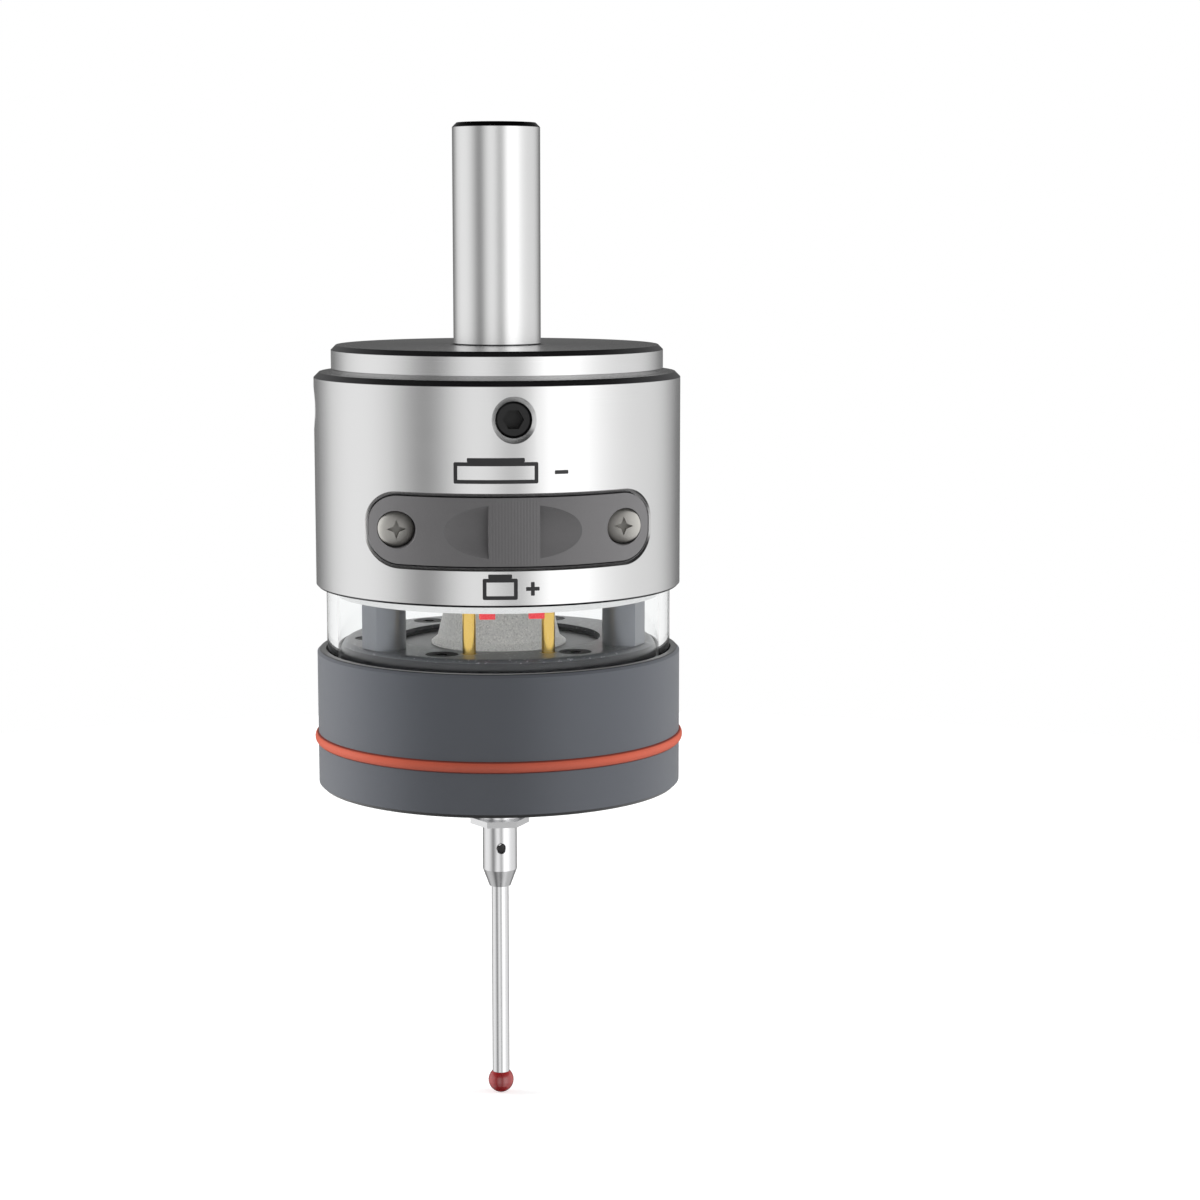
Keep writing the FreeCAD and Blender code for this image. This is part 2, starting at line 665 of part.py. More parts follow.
def make_battery_cover():
    face_radius = body_radius - s.cover_set_in
    half_height = s.door_height / 2 - s.cover_gap
    body = new_body("battery_cover")
    outline = new_sketch(body, "XZ_Plane", y=door_level, lift=door_floor)
    corner = s.door_corner_radius - s.cover_gap
    add_rounded_rectangle(outline, half_door - s.cover_gap, half_height, corner)
    extrude(body, "Pad", outline, body_radius - door_floor)
    # A round cutter run across the cover leaves a scoop each side of the ridge
    half_scoop = s.scoop_height / 2
    cutter_radius = (half_scoop * half_scoop + s.scoop_depth * s.scoop_depth) / (s.scoop_depth * 2)
    scoops = new_sketch(body, "YZ_Plane", y=door_level)
    add_circle(scoops, -(face_radius - s.scoop_depth + cutter_radius), ZERO, cutter_radius)
    extrude(body, "Pocket", scoops, s.body_diameter, both_ways=True)
    ridge = new_sketch(body, "XY_Plane", lift=door_level - half_height)
    half_ridge = s.ridge_width / 2
    add_rectangle(ridge, -half_ridge, half_ridge, -body_radius, s.cover_hollow_depth - face_radius)
    extrude(body, "Pad", ridge, half_height * 2)
    # The face follows the housing
    ring = new_sketch(body, "XZ_Plane")
    low, high = door_level - s.door_height, door_level + s.door_height
    add_rectangle(ring, face_radius, s.body_diameter, low, high)
    revolve(body, "Groove", ring)
    spots = new_sketch(body, "XZ_Plane", y=door_level, lift=body_radius)
    holes = new_sketch(body, "XZ_Plane", y=door_level, lift=body_radius)
    for side in (-1, 1):
        x = cover_screw_offset * side
        add_circle(spots, x, ZERO, s.cover_screw_spot / 2)
        add_circle(holes, x, ZERO, s.cover_screw_diameter / 2 + s.running_gap)
    extrude(body, "Pocket", spots, body_radius - cover_screw_seat)
    extrude(body, "Pocket", holes, body_radius - door_floor)
    # Hollow behind the face, facing the cell
    hollow = new_sketch(body, "XZ_Plane", y=door_level, lift=door_floor + s.cover_hollow_depth)
    half_width, half_hollow = s.cover_hollow_width / 2, s.cover_hollow_height / 2
    add_rectangle(hollow, -half_width, half_width, -half_hollow, half_hollow)
    extrude(body, "Pocket", hollow, s.cover_hollow_depth)


def make_cover_screws():
    seat = cover_screw_seat
    shaft = s.cover_screw_diameter / 2 - s.fit_gap
    head = s.cover_screw_head / 2
    height = s.cover_screw_head_height
    x = cover_screw_offset
    body = new_body("cover_screws")
    sketch = new_sketch(body, "YZ_Plane", y=door_level, lift=x)
    add_outline(sketch, [
        (s.cover_screw_reach - seat, ZERO),
        (s.cover_screw_reach - seat, shaft * 0.7),
        (s.cover_screw_reach - seat - shaft * 0.3, shaft),
        (-seat, shaft),
        (-seat, head),
        (-(seat + height * 0.3), head),
        (-(seat + height * 0.6), head * 0.88),
        (-(seat + height * 0.85), head * 0.65),
        (-(seat + height), head * 0.35),
        (-(seat + height), ZERO),
    ])
    screw = revolve(body, "Revolution", sketch, "H_Axis")
    reach, waist = s.star_recess_reach, s.star_recess_waist
    recess = new_sketch(body, "XZ_Plane", x=x, y=door_level, lift=seat + height)
    add_outline(recess, [
        (reach, ZERO), (waist, waist), (ZERO, reach), (-waist, waist),
        (-reach, ZERO), (-waist, -waist), (ZERO, -reach), (waist, -waist),
    ])
    mirror = body.newObject("PartDesign::Mirrored", "Mirror")
    mirror.Originals = [screw, extrude(body, "Pocket", recess, s.star_recess_depth)]
    mirror.MirrorPlane = (origin_feature(body, "YZ_Plane"), [""])
    body.Tip = mirror


def make_battery_sleeve():
    body = new_body("battery_sleeve")
    half_bay = s.tail_slot_width / 2
    add_slot(body, "Pad", door_level - sleeve_half_height, sleeve_half_height * 2, sleeve_radius,
             -door_floor, half_bay + s.sleeve_wall, tail_bay_back + s.sleeve_wall)
    add_slot(body, "Pocket", door_level + slot_half_height, slot_half_height * 2, cell_bay_radius,
             -door_floor, half_bay, tail_bay_back)
    tails = new_sketch(body, "XY_Plane", lift=door_level)
    add_rectangle(tails, -half_bay, half_bay, tail_front, tail_bay_back)
    extrude(body, "Pocket", tails, sleeve_half_height)
    # Open front, level with the floor of the cover's pocket
    front = new_sketch(body, "XY_Plane", lift=door_level + sleeve_half_height)
    add_rectangle(front, -sleeve_radius, sleeve_radius, -body_radius, -door_floor)
    extrude(body, "Pocket", front, sleeve_half_height * 2)


def make_battery_cell():
    radius = s.cell_diameter / 2
    cap = s.cell_cap_diameter / 2
    half = s.cell_thickness / 2
    edge = s.cell_cap_height
    body = new_body("battery_cell")
    sketch = new_sketch(body, "XZ_Plane", y=door_level, lift=-cell_centre)
    add_outline(sketch, [
        (ZERO, -half),
        (radius - edge, -half),
        (radius, edge - half),
        (radius, half - edge * 2),
        (radius - edge, half - edge),
        (cap + edge, half - edge),
        (cap, half),
        (ZERO, half),
    ])
    revolve(body, "Revolution", sketch)


def make_battery_contact(label, side, tail):
    """Bent strip between the cell and the sleeve, with a tail down to the circuit board."""
    thick = s.contact_thickness
    near = s.cell_thickness / 2 + s.fit_gap
    far = slot_half_height - s.fit_gap
    crown_in, crown_out = near * side, (near + thick) * side
    rest_in, rest_out = (far - thick) * side, far * side
    foot = board_top + s.fit_gap - door_level
    inner_bend, outer_bend = (rest_in, rest_out) if side > 0 else (rest_out, rest_in)
    body = new_body(label)
    sketch = new_sketch(body, "YZ_Plane", y=door_level)
    front = -s.contact_reach
    if side > 0:
        corners = [
            (front, rest_out), (front, rest_in), (cell_centre, crown_in), (tail - thick, inner_bend),
            (tail - thick, foot), (tail, foot), (tail, outer_bend), (cell_centre, crown_out),
        ]
    else:
        corners = [
            (front, rest_in), (front, rest_out), (cell_centre, crown_out), (tail - thick, rest_out),
            (tail - thick, foot), (tail, foot), (tail, rest_in), (cell_centre, crown_in),
        ]
    add_outline(sketch, corners)
    extrude(body, "Pad", sketch, s.contact_width, both_ways=True)


def make_circuit_board():
    body = new_body("circuit_board")
    disc = new_sketch(body, "XY_Plane", lift=lip_bottom)
    add_circle(disc, ZERO, ZERO, board_radius)
    extrude(body, "Pad", disc, s.board_thickness)
    x, y = around(post_circle, 60)
    hole_radius = s.post_stud_diameter / 2 + s.board_hole_gap
    repeat(body, [drill(body, x, y, board_top, hole_radius, s.board_thickness)], 3)
    pins = new_sketch(body, "XY_Plane", lift=board_top)
    for side in (-1, 1):
        add_circle(pins, pin_offset * side, -pin_setback, s.pin_diameter / 2 + s.fit_gap)
    extrude(body, "Pocket", pins, s.board_thickness)


def make_lights():
    # Three pairs of small red lights on the underside of the board
    number = 0
    for degrees in THIRDS:
        for side in (-1, 1):
            number += 1
            body = new_body(f"light_{number}")
            sketch = new_sketch(body, "XY_Plane", lift=lip_bottom - s.light_height)
            middle = s.light_pair_spacing / 2 * side
            setback = board_radius - s.light_inset
            half_length, half_width = s.light_length / 2, s.light_width / 2
            add_rectangle(sketch, middle - half_length, middle + half_length,
                          -(setback + half_width), half_width - setback)
            extrude(body, "Pad", sketch, s.light_height)
            turn_to(body, degrees)


def make_window_ring():
    outer = window_outer_radius
    bevel = s.window_chamfer
    turned("window_ring", [
        (window_bore_radius + bevel, housing_bottom),
        (outer - bevel, housing_bottom),
        (outer, housing_bottom - bevel),
        (outer, window_bottom + bevel),
        (outer - bevel, window_bottom),
        (window_bore_radius + bevel, window_bottom),
        (window_bore_radius, window_bottom + bevel),
        (window_bore_radius, housing_bottom - bevel),
    ])


def make_support_posts():
    for number, degrees in enumerate((60, 180, 300), start=1):
        body = new_body(f"support_post_{number}")
        middle = -post_circle
        length = lip_bottom - plate_top
        column = new_sketch(body, "XY_Plane", lift=plate_top)
        add_circle(column, ZERO, middle, s.post_diameter / 2)
        extrude(body, "Pad", column, length)
        flat = new_sketch(body, "XY_Plane", lift=lip_bottom)
        add_rectangle(flat, -s.post_diameter, s.post_diameter,
                      middle - s.post_diameter, middle - s.post_flat)
        extrude(body, "Pocket", flat, length)
        stud = new_sketch(body, "XY_Plane", lift=lip_bottom)
        add_circle(stud, ZERO, middle, s.post_stud_diameter / 2)
        extrude(body, "Pad", stud, s.post_stud_length)
        depth = s.post_screw_reach + s.small_screw_diameter / 2
        drill(body, ZERO, middle, plate_top + depth, s.small_screw_diameter / 2, depth)
        turn_to(body, degrees)


def add_small_screw(body, x, y, head_level, end_level, side):
    """Countersunk screw along the axis: side is 1 with its head on top, -1 with it below."""
    shaft = s.small_screw_diameter / 2 - s.fit_gap
    head = s.small_screw_head / 2
    neck_level = head_level - (head - shaft) * side
    sketch = new_sketch(body, "XZ_Plane", x=x, lift=-y)
    add_outline(sketch, [(ZERO, head_level), (head, head_level), (shaft, neck_level),
                         (shaft, end_level), (ZERO, end_level)])
    screw = revolve(body, "Revolution", sketch)
    depth = s.small_socket_depth
    socket_top = head_level if side > 0 else head_level + depth
    socket = new_sketch(body, "XY_Plane", x=x, y=y, lift=socket_top)
    add_hexagon(socket, s.small_socket)
    return [screw, extrude(body, "Pocket", socket, depth)]


def cut_small_screw_hole(body, x, y, head_level, end_level, side):
    """Countersunk hole with the running gap round its screw."""
    shaft = s.small_screw_diameter / 2 + s.running_gap
    head = s.small_screw_head / 2 + s.running_gap
    neck_level = head_level - (head - shaft) * side
    sketch = new_sketch(body, "XZ_Plane", x=x, lift=-y)
    add_outline(sketch, [(ZERO, head_level), (head, head_level), (shaft, neck_level),
                         (shaft, end_level), (ZERO, end_level)])
    return revolve(body, "Groove", sketch)


def make_post_screws():
    body = new_body("post_screws")
    x, y = around(post_circle, 60)
    head = plate_bottom + s.fit_gap
    repeat(body, add_small_screw(body, x, y, head, plate_top + s.post_screw_reach, -1), 3)


def make_plate_screws():
    body = new_body("plate_screws")
    x, y = around(plate_screw_circle, 30)
    head = plate_top - s.running_gap
    repeat(body, add_small_screw(body, x, y, head, plate_top - s.plate_screw_reach, 1), 6)


def make_pins_and_bushes():
    for number, side in enumerate((-1, 1), start=1):
        x, y = pin_offset * side, -pin_setback
        pin = new_body(f"contact_pin_{number}")
        sketch = new_sketch(pin, "XY_Plane", lift=plate_bottom)
        add_circle(sketch, x, y, s.pin_diameter / 2)
        extrude(pin, "Pad", sketch, board_top - plate_bottom)
        bush = new_body(f"pin_bush_{number}")
        sketch = new_sketch(bush, "XY_Plane", lift=plate_bottom)
        add_circle(sketch, x, y, s.bush_diameter / 2)
        add_circle(sketch, x, y, s.pin_diameter / 2 + s.fit_gap)
        extrude(bush, "Pad", sketch, plate_top - plate_bottom)


def make_base_plate():
    bay = s.spring_bay_diameter / 2
    hub = s.plate_hub_diameter / 2
    bore = s.plunger_diameter / 2 + s.running_gap
    recess = plate_edge - s.plate_recess_inset
    body = turned("base_plate", [
        (bore, recess_floor),
        (recess, recess_floor),
        (recess, plate_top),
        (plate_edge, plate_top),
        (plate_edge, window_bottom),
        (plate_foot_radius, window_bottom),
        (plate_foot_radius, plate_bottom),
        (bay, plate_bottom),
        (bay, spring_top),
        (hub, spring_top),
        (hub, spring_top - s.plate_hub_length),
        (bore, spring_top - s.plate_hub_length),
    ])
    round_rim(body, plate_edge, plate_top, s.plate_edge_radius)
    x, y = around(plate_screw_circle, 30)
    repeat(body, [cut_small_screw_hole(body, x, y, plate_top, plate_bottom, 1)], 6)
    x, y = around(post_circle, 60)
    repeat(body, [cut_small_screw_hole(body, x, y, plate_bottom, plate_top, -1)], 3)
    bushes = new_sketch(body, "XY_Plane", lift=plate_top)
    for side in (-1, 1):
        add_circle(bushes, pin_offset * side, -pin_setback, s.bush_diameter / 2 + s.fit_gap)
    extrude(body, "Pocket", bushes, plate_top - plate_bottom)


def round_rim(body, edge_radius, level, size):
    """Fillet on the circular edge of this radius at this level."""
    doc.recompute()
    base = body.Tip
    names = []
    for index, edge in enumerate(base.Shape.Edges, start=1):
        if isinstance(edge.Curve, Part.Circle) and abs(edge.Curve.Radius - edge_radius.value) < 1e-4:
            if abs(edge.Curve.Center.z - level.value) < 1e-4:
                names.append(f"Edge{index}")
    fillet = body.newObject("PartDesign::Fillet", "Fillet")
    fillet.Base = (base, names)
    fillet.setExpression("Radius", size.text)


def make_light_diffuser():
    foot = s.diffuser_foot_diameter / 2
    waist = s.diffuser_waist_diameter / 2
    top = s.diffuser_top_diameter / 2
    wall = s.diffuser_wall
    roof = recess_floor + s.diffuser_height
    waist_level = recess_floor + s.diffuser_foot_height
    body = turned("light_diffuser", [
        (foot - wall * 1.6, recess_floor),
        (foot, recess_floor),
        (foot, recess_floor + s.diffuser_foot_height * 0.3),
        (waist, waist_level),
        (top, roof),
        (ZERO, roof),
        (ZERO, roof - wall),
        (top - wall, roof - wall),
        (waist - wall, waist_level),
    ])
    round_rim(body, top, roof, wall * 0.9)


def make_return_spring():
    wire = s.spring_wire / 2
    body = new_body("return_spring")
    sketch = new_sketch(body, "XZ_Plane")
    add_circle(sketch, s.spring_coil_diameter / 2, spring_bottom + wire, wire)
    helix = body.newObject("PartDesign::AdditiveHelix", "Helix")
    helix.Profile = sketch
    helix.ReferenceAxis = (sketch, ["V_Axis"])
    helix.Mode = "height-turns-angle"
    helix.setExpression("Height", (spring_top - spring_bottom - s.spring_wire).text)
    helix.setExpression("Turns", s.spring_turns.text)
    helix.Angle = 0


def make_spring_plunger():
    shaft = s.plunger_diameter / 2
    plate = s.plunger_plate_diameter / 2
    nose = s.plunger_nose_diameter / 2
    roof = recess_floor + s.diffuser_height - s.diffuser_wall
    top = roof - s.plunger_travel - s.plunger_top_drop
    plate_low = pivot_level + s.plunger_plate_rise
    end = pivot_level + s.plunger_nose_rise
    body = turned("spring_plunger", [
        (ZERO, top),
        (shaft * 0.8, top),
        (shaft, top - shaft * 0.2),
        (shaft, spring_bottom),
        (plate, spring_bottom),
        (plate, plate_low),
        (nose, plate_low),
        (nose, end),
        (ZERO, end),
    ])
    ball_radius = s.pivot_ball_diameter / 2 + s.running_gap
    add_ball(body, "Subtractive", ball_radius, level=pivot_level)


def make_pivot_ball():
    body = new_body("pivot_ball")
    add_ball(body, "Additive", s.pivot_ball_diameter / 2, level=pivot_level)


def make_stylus_carrier():
    neck = s.neck_diameter / 2
    disc = ball_ring_bore - s.carrier_gap
    thread = s.holder_thread_diameter / 2 + s.fit_gap
    carrier_top = pivot_level + s.carrier_rise
    body = turned("stylus_carrier", [
        (ZERO, carrier_top),
        (disc, carrier_top),
        (disc, pivot_level - s.carrier_depth),
        (neck, pivot_level - s.carrier_depth),
        (neck, neck_end),
        (thread, neck_end),
        (thread, neck_end + s.holder_thread_length + thread),
        (ZERO, neck_end + s.holder_thread_length + thread),
    ])
    # Hexagon above the holder, with a flat to the front
    hexagon = new_sketch(body, "XY_Plane", lift=neck_end)
    add_hexagon(hexagon, s.neck_hexagon)
    add_circle(hexagon, ZERO, ZERO, neck - s.fit_gap)
    extrude(body, "Pad", hexagon, s.neck_hexagon_thickness)
    # Spherical underside that rocks in the seat ring
    hub = add_ball(body, "Additive", s.hub_ball_diameter / 2, level=pivot_level)
    hub.Angle2 = 0
    # Socket for the pivot ball
    socket_depth = s.carrier_rise + s.carrier_socket_depth
    drill(body, ZERO, ZERO, carrier_top, s.carrier_socket_diameter / 2, socket_depth)
    add_ball(body, "Subtractive", s.pivot_ball_diameter / 2 + s.running_gap, level=pivot_level)
    # Three radial holes for the contact rods
    hole = new_sketch(body, "XZ_Plane", y=pivot_level, lift=rod_outer_radius)
    add_circle(hole, ZERO, ZERO, s.rod_diameter / 2 + s.fit_gap)
    repeat(body, [extrude(body, "Pocket", hole, rod_outer_radius - s.rod_inner_radius)], 3)


def make_contact_rods():
    for number, degrees in enumerate(THIRDS, start=1):
        body = new_body(f"contact_rod_{number}")
        sketch = new_sketch(body, "XZ_Plane", y=pivot_level, lift=s.rod_inner_radius)
        add_circle(sketch, ZERO, ZERO, s.rod_diameter / 2)
        extrude(body, "Pad", sketch, rod_outer_radius - s.rod_inner_radius)
        turn_to(body, degrees)


def seat_ball_offset():
    """Distance of a contact ball from the line of its rod."""
    return s.rod_diameter / 2 + s.rod_side_gap + s.seat_ball_diameter / 2


def make_ball_ring():
    inner = ball_ring_bore
    outer = bore_radius - s.ball_ring_gap
    top = cavity_floor + s.ball_ring_height
    body = turned("ball_ring", [
        (inner, cavity_floor),
        (outer, cavity_floor),
        (outer, top),
        (inner, top),
    ])
    x = seat_ball_offset()
    bosses = new_sketch(body, "XY_Plane", lift=cavity_floor)
    for side in (-1, 1):
        add_circle(bosses, x * side, -seat_ball_circle, s.seat_ball_diameter / 2)
    repeat(body, [extrude(body, "Pad", bosses, s.pivot_height - s.ball_boss_drop)], 3)
    radius = s.seat_ball_diameter / 2 + s.fit_gap
    for degrees in THIRDS:
        for side in (-1, 1):
            ball_x, ball_y = turned_point(x * side, -seat_ball_circle, degrees)
            add_ball(body, "Subtractive", radius, ball_x, ball_y, pivot_level)


def make_seat_balls():
    number = 0
    for degrees in THIRDS:
        for side in (-1, 1):
            number += 1
            body = new_body(f"seat_ball_{number}")
            radius = s.seat_ball_diameter / 2
            add_ball(body, "Additive", radius, seat_ball_offset() * side, -seat_ball_circle, pivot_level)
            turn_to(body, degrees)


def make_seat_ring():
    outer = s.seat_ring_outer_diameter / 2
    top = pivot_level - s.seat_ring_drop
    bevel = s.seat_ring_sunk / 2
    body = turned("seat_ring", [
        (s.seat_ring_bore / 2, cavity_floor - s.seat_ring_sunk),
        (outer, cavity_floor - s.seat_ring_sunk),
        (outer, top - bevel),
        (outer - bevel, top),
        (s.seat_ring_bore / 2, top),
    ])
    add_ball(body, "Subtractive", s.hub_ball_diameter / 2 + s.running_gap, level=pivot_level)


def make_lower_housing():
    hole = s.stylus_hole_diameter / 2
    seat = s.seat_ring_outer_diameter / 2 + s.fit_gap
    body = turned("lower_housing", [
        (rim_bore_radius, rim_top),
        (body_radius - s.rim_chamfer, rim_top),
        (body_radius, rim_top - s.rim_chamfer),
        (body_radius, lower_bottom + s.lower_foot_chamfer),
        (body_radius - s.lower_foot_chamfer, lower_bottom),
        (hole + s.stylus_hole_chamfer, lower_bottom),
        (hole, lower_bottom + s.stylus_hole_chamfer),
        (hole, cavity_floor - s.seat_ring_sunk),
        (seat, cavity_floor - s.seat_ring_sunk),
        (seat, cavity_floor),
        (bore_radius, cavity_floor),
        (bore_radius, plate_bottom),
        (rim_bore_radius, plate_bottom),
    ])
    groove = new_sketch(body, "XZ_Plane")
    add_circle(groove, cord_radius(), rim_top - s.cord_drop, s.cord_diameter / 2 + s.fit_gap)
    revolve(body, "Groove", groove)
    x, y = around(plate_screw_circle, 30)
    depth = s.plate_screw_reach - (plate_top - plate_bottom) + s.small_screw_diameter / 2
    hole_radius = s.small_screw_diameter / 2
    repeat(body, [drill(body, x, y, plate_bottom, hole_radius, depth)], 6)


def cord_radius():
    """Distance of the bumper cord's middle from the axis."""
    return body_radius + s.cord_proud - s.cord_diameter / 2


def make_bumper_ring():
    body = new_body("bumper_ring")
    sketch = new_sketch(body, "XZ_Plane")
    add_circle(sketch, cord_radius(), rim_top - s.cord_drop, s.cord_diameter / 2)
    revolve(body, "Revolution", sketch)


def make_stylus():
    thread = s.holder_thread_diameter / 2
    radius = s.holder_diameter / 2
    stem = s.stem_diameter / 2
    shoulder = neck_end - s.holder_length
    holder = turned("stylus_holder", [
        (ZERO, neck_end + s.holder_thread_length),
        (thread, neck_end + s.holder_thread_length),
        (thread, neck_end),
        (radius, neck_end),
        (radius, shoulder),
        (s.holder_nose_diameter / 2, holder_end),
        (stem + s.fit_gap, holder_end),
        (stem + s.fit_gap, holder_end + s.stem_sunk),
        (ZERO, holder_end + s.stem_sunk),
    ])
    hole_level = neck_end - s.cross_hole_drop
    hole = new_sketch(holder, "XZ_Plane", y=hole_level)
    add_circle(hole, ZERO, ZERO, s.cross_hole_diameter / 2)
    extrude(holder, "Pocket", hole, s.holder_diameter * 2, both_ways=True)
    mouth, bore = s.cross_hole_mouth / 2, s.cross_hole_diameter / 2
    cone = new_sketch(holder, "YZ_Plane", y=hole_level)
    add_outline(cone, [
        (-radius, ZERO),
        (-radius, mouth),
        (mouth - bore - radius, bore),
        (mouth - bore - radius, ZERO),
    ])
    repeat(holder, [revolve(holder, "Groove", cone, "H_Axis")], 2)

    ball_radius = s.ball_diameter / 2
    stem_end = ball_level + ball_radius - s.ball_bore_depth
    turned("stylus_stem", [
        (ZERO, holder_end + s.stem_sunk - s.fit_gap),
        (stem, holder_end + s.stem_sunk - s.fit_gap),
        (stem, stem_end),
        (ZERO, stem_end),
    ])
    ball = new_body("ruby_ball")
    add_ball(ball, "Additive", ball_radius, level=ball_level)
    drill(ball, ZERO, ZERO, ball_level + ball_radius, stem + s.fit_gap, s.ball_bore_depth)


make_shank()
make_top_flange()
make_centering_screws()
make_upper_housing()
make_battery_cover()
make_cover_screws()
make_battery_sleeve()
make_battery_cell()
make_battery_contact("negative_contact", 1, tail_bay_back - s.contact_thickness)
make_battery_contact("positive_contact", -1, tail_front + s.contact_thickness * 2)
make_circuit_board()
make_lights()
make_window_ring()
make_support_posts()
make_post_screws()
make_pins_and_bushes()
make_base_plate()
make_plate_screws()
make_light_diffuser()
make_return_spring()
make_spring_plunger()
make_pivot_ball()
make_stylus_carrier()
make_contact_rods()
make_ball_ring()
make_seat_balls()
make_seat_ring()
make_lower_housing()
make_bumper_ring()
make_stylus()
doc.recompute()

for item in doc.Objects:
    if "Invalid" in item.State or "Error" in item.State:
        raise RuntimeError(f"{item.Label} failed: {item.State}")

bodies = [item for item in doc.Objects if item.TypeId == "PartDesign::Body"]
for body in bodies:
    if body.Shape.isNull() or not body.Shape.isValid():
        raise RuntimeError(f"{body.Label} has no valid shape")

os.makedirs("parts", exist_ok=True)
for body in bodies:
    body.Shape.exportStep(f"parts/{body.Label}.step")
    box = body.Shape.BoundBox
    print(f"{body.Label}: {len(body.Shape.Solids)} solid, {body.Shape.Volume:.2f} mm3, "
          f"z {box.ZMin:.2f} to {box.ZMax:.2f}")
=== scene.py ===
import math

import bmesh
import bpy
from mathutils import Matrix, Vector


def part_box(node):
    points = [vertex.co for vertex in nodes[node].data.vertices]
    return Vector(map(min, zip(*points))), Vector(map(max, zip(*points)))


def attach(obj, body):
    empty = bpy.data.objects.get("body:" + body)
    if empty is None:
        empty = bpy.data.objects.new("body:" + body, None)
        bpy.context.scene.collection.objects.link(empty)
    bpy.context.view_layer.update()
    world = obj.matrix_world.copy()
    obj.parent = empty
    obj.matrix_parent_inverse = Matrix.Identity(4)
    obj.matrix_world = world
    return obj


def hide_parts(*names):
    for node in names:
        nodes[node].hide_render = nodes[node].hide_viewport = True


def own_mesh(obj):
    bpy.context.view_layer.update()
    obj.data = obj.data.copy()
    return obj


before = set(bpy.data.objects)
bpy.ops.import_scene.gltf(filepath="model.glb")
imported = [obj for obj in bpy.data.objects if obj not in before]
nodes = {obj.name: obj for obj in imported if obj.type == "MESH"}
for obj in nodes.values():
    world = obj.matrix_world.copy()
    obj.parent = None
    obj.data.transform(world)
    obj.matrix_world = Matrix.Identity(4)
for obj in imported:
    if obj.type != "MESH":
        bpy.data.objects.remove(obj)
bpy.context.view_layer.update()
mm = 0.001
print("frame loaded,", len(nodes), "nodes")


# Camera, lamps and floor

view = {
    "lens": 79.164,       # mm, on a sensor 36 mm wide
    "distance": 0.30353,  # metres from the object's axis
    "aside": 0.011783,    # metres to the right of the axis
    "height": 0.013177,   # metres over the top face of the flange
    "turn": 7.1,          # degrees round the object, to its left
    "pitch": 8.024,       # degrees down
}

studio = {
    "panels": [  # degrees round from the camera, brightness in reflections
        (-180, 0.14), (-152, 0.18), (-136, 0.42), (-122, 0.82), (-104, 0.98), (-84, 0.98),
        (-70, 0.86), (-60, 0.64), (-51, 0.38), (-43, 0.24), (-35, 0.38), (-27, 0.74),
        (-18, 0.97), (-8, 1.00), (0, 0.88), (7, 0.58), (13, 0.46), (19, 0.64), (27, 1.15),
        (35, 1.50), (54, 1.50), (64, 1.22), (76, 1.00), (92, 0.88), (112, 0.84), (126, 0.74),
        (139, 0.46), (154, 0.18), (180, 0.14),
    ],
    "heights": [  # place from straight down to straight up, share of the panels' brightness
        (0.0, 0.03), (0.05, 0.06), (0.12, 0.60), (0.25, 0.70), (0.33, 1.0), (0.64, 1.0),
        (0.79, 0.22), (0.89, 0.03), (1.0, 0.02),
    ],
    "peak": 1.5,           # the brightest panel
    "fill": 0.42,          # even light on dull surfaces
    "lamps": [             # name, degrees round, degrees up, size in metres, strength
        ("leftSoftbox", -98, 12, 0.50, 1.55),
        ("rightSoftbox", 92, 14, 0.50, 1.15),
        ("frontSoftbox", 34, 38, 0.45, 0.14),
    ],
    "lampDistance": 0.75,  # metres
    "lampAim": -30,        # level on the axis, mm
}

floor = {
    "radius": 0.25,        # metres
    "sides": 96,
    "drop": 0.02,          # under the ruby ball, mm
    "colour": (0.72, 0.72, 0.72, 1),
    "glow": 0.45,          # only to the camera and through glass
}


def fillSockets(tree, node, values):
    for socket, value in values.items():
        if isinstance(value, bpy.types.NodeSocket):
            tree.links.new(value, node.inputs[socket])
        else:
            node.inputs[socket].default_value = value


def addNode(tree, kind, values=None, **settings):
    node = tree.nodes.new("ShaderNode" + kind)
    for name, value in settings.items():
        setattr(node, name, value)
    fillSockets(tree, node, values or {})
    return node


def maths(tree, operation, first, second=0.0, third=0.0, clamp=False):
    return addNode(tree, "Math", {0: first, 1: second, 2: third},
                   operation=operation, use_clamp=clamp).outputs[0]


def blendValues(tree, factor, low, high):
    return addNode(tree, "Mix", {0: factor, 2: low, 3: high}, data_type="FLOAT").outputs[0]


def blendColours(tree, factor, low, high):
    return addNode(tree, "Mix", {0: factor, 6: low, 7: high}, data_type="RGBA").outputs[2]


def addRamp(tree, value, stops):
    node = addNode(tree, "ValToRGB", {0: value})
    ramp = node.color_ramp
    ramp.interpolation = "EASE"
    while len(ramp.elements) < len(stops):
        ramp.elements.new(0.5)
    for element, (place, shade) in zip(ramp.elements, stops):
        element.position = place
        element.color = (shade, shade, shade, 1)
    return node.outputs[0]


def along(tree, place, direction):
    return addNode(tree, "SeparateXYZ", {0: place}).outputs[direction]


def roundDirection(degrees, up=0.0):
    # Seen from the object, counted from the camera to its right
    angle = math.radians(degrees - view["turn"])
    rise = math.radians(up)
    return Vector((math.sin(angle) * math.cos(rise), -math.cos(angle) * math.cos(rise), math.sin(rise)))


def makeCamera():
    lens = bpy.data.cameras.new("camera")
    lens.lens = view["lens"]
    camera = bpy.data.objects.new("camera", lens)
    bpy.context.scene.collection.objects.link(camera)
    camera.location = roundDirection(0) * view["distance"] + roundDirection(90) * view["aside"]
    camera.location.z = view["height"]
    camera.rotation_euler = (math.radians(90 - view["pitch"]), 0, math.radians(-view["turn"]))
    bpy.context.scene.camera = camera


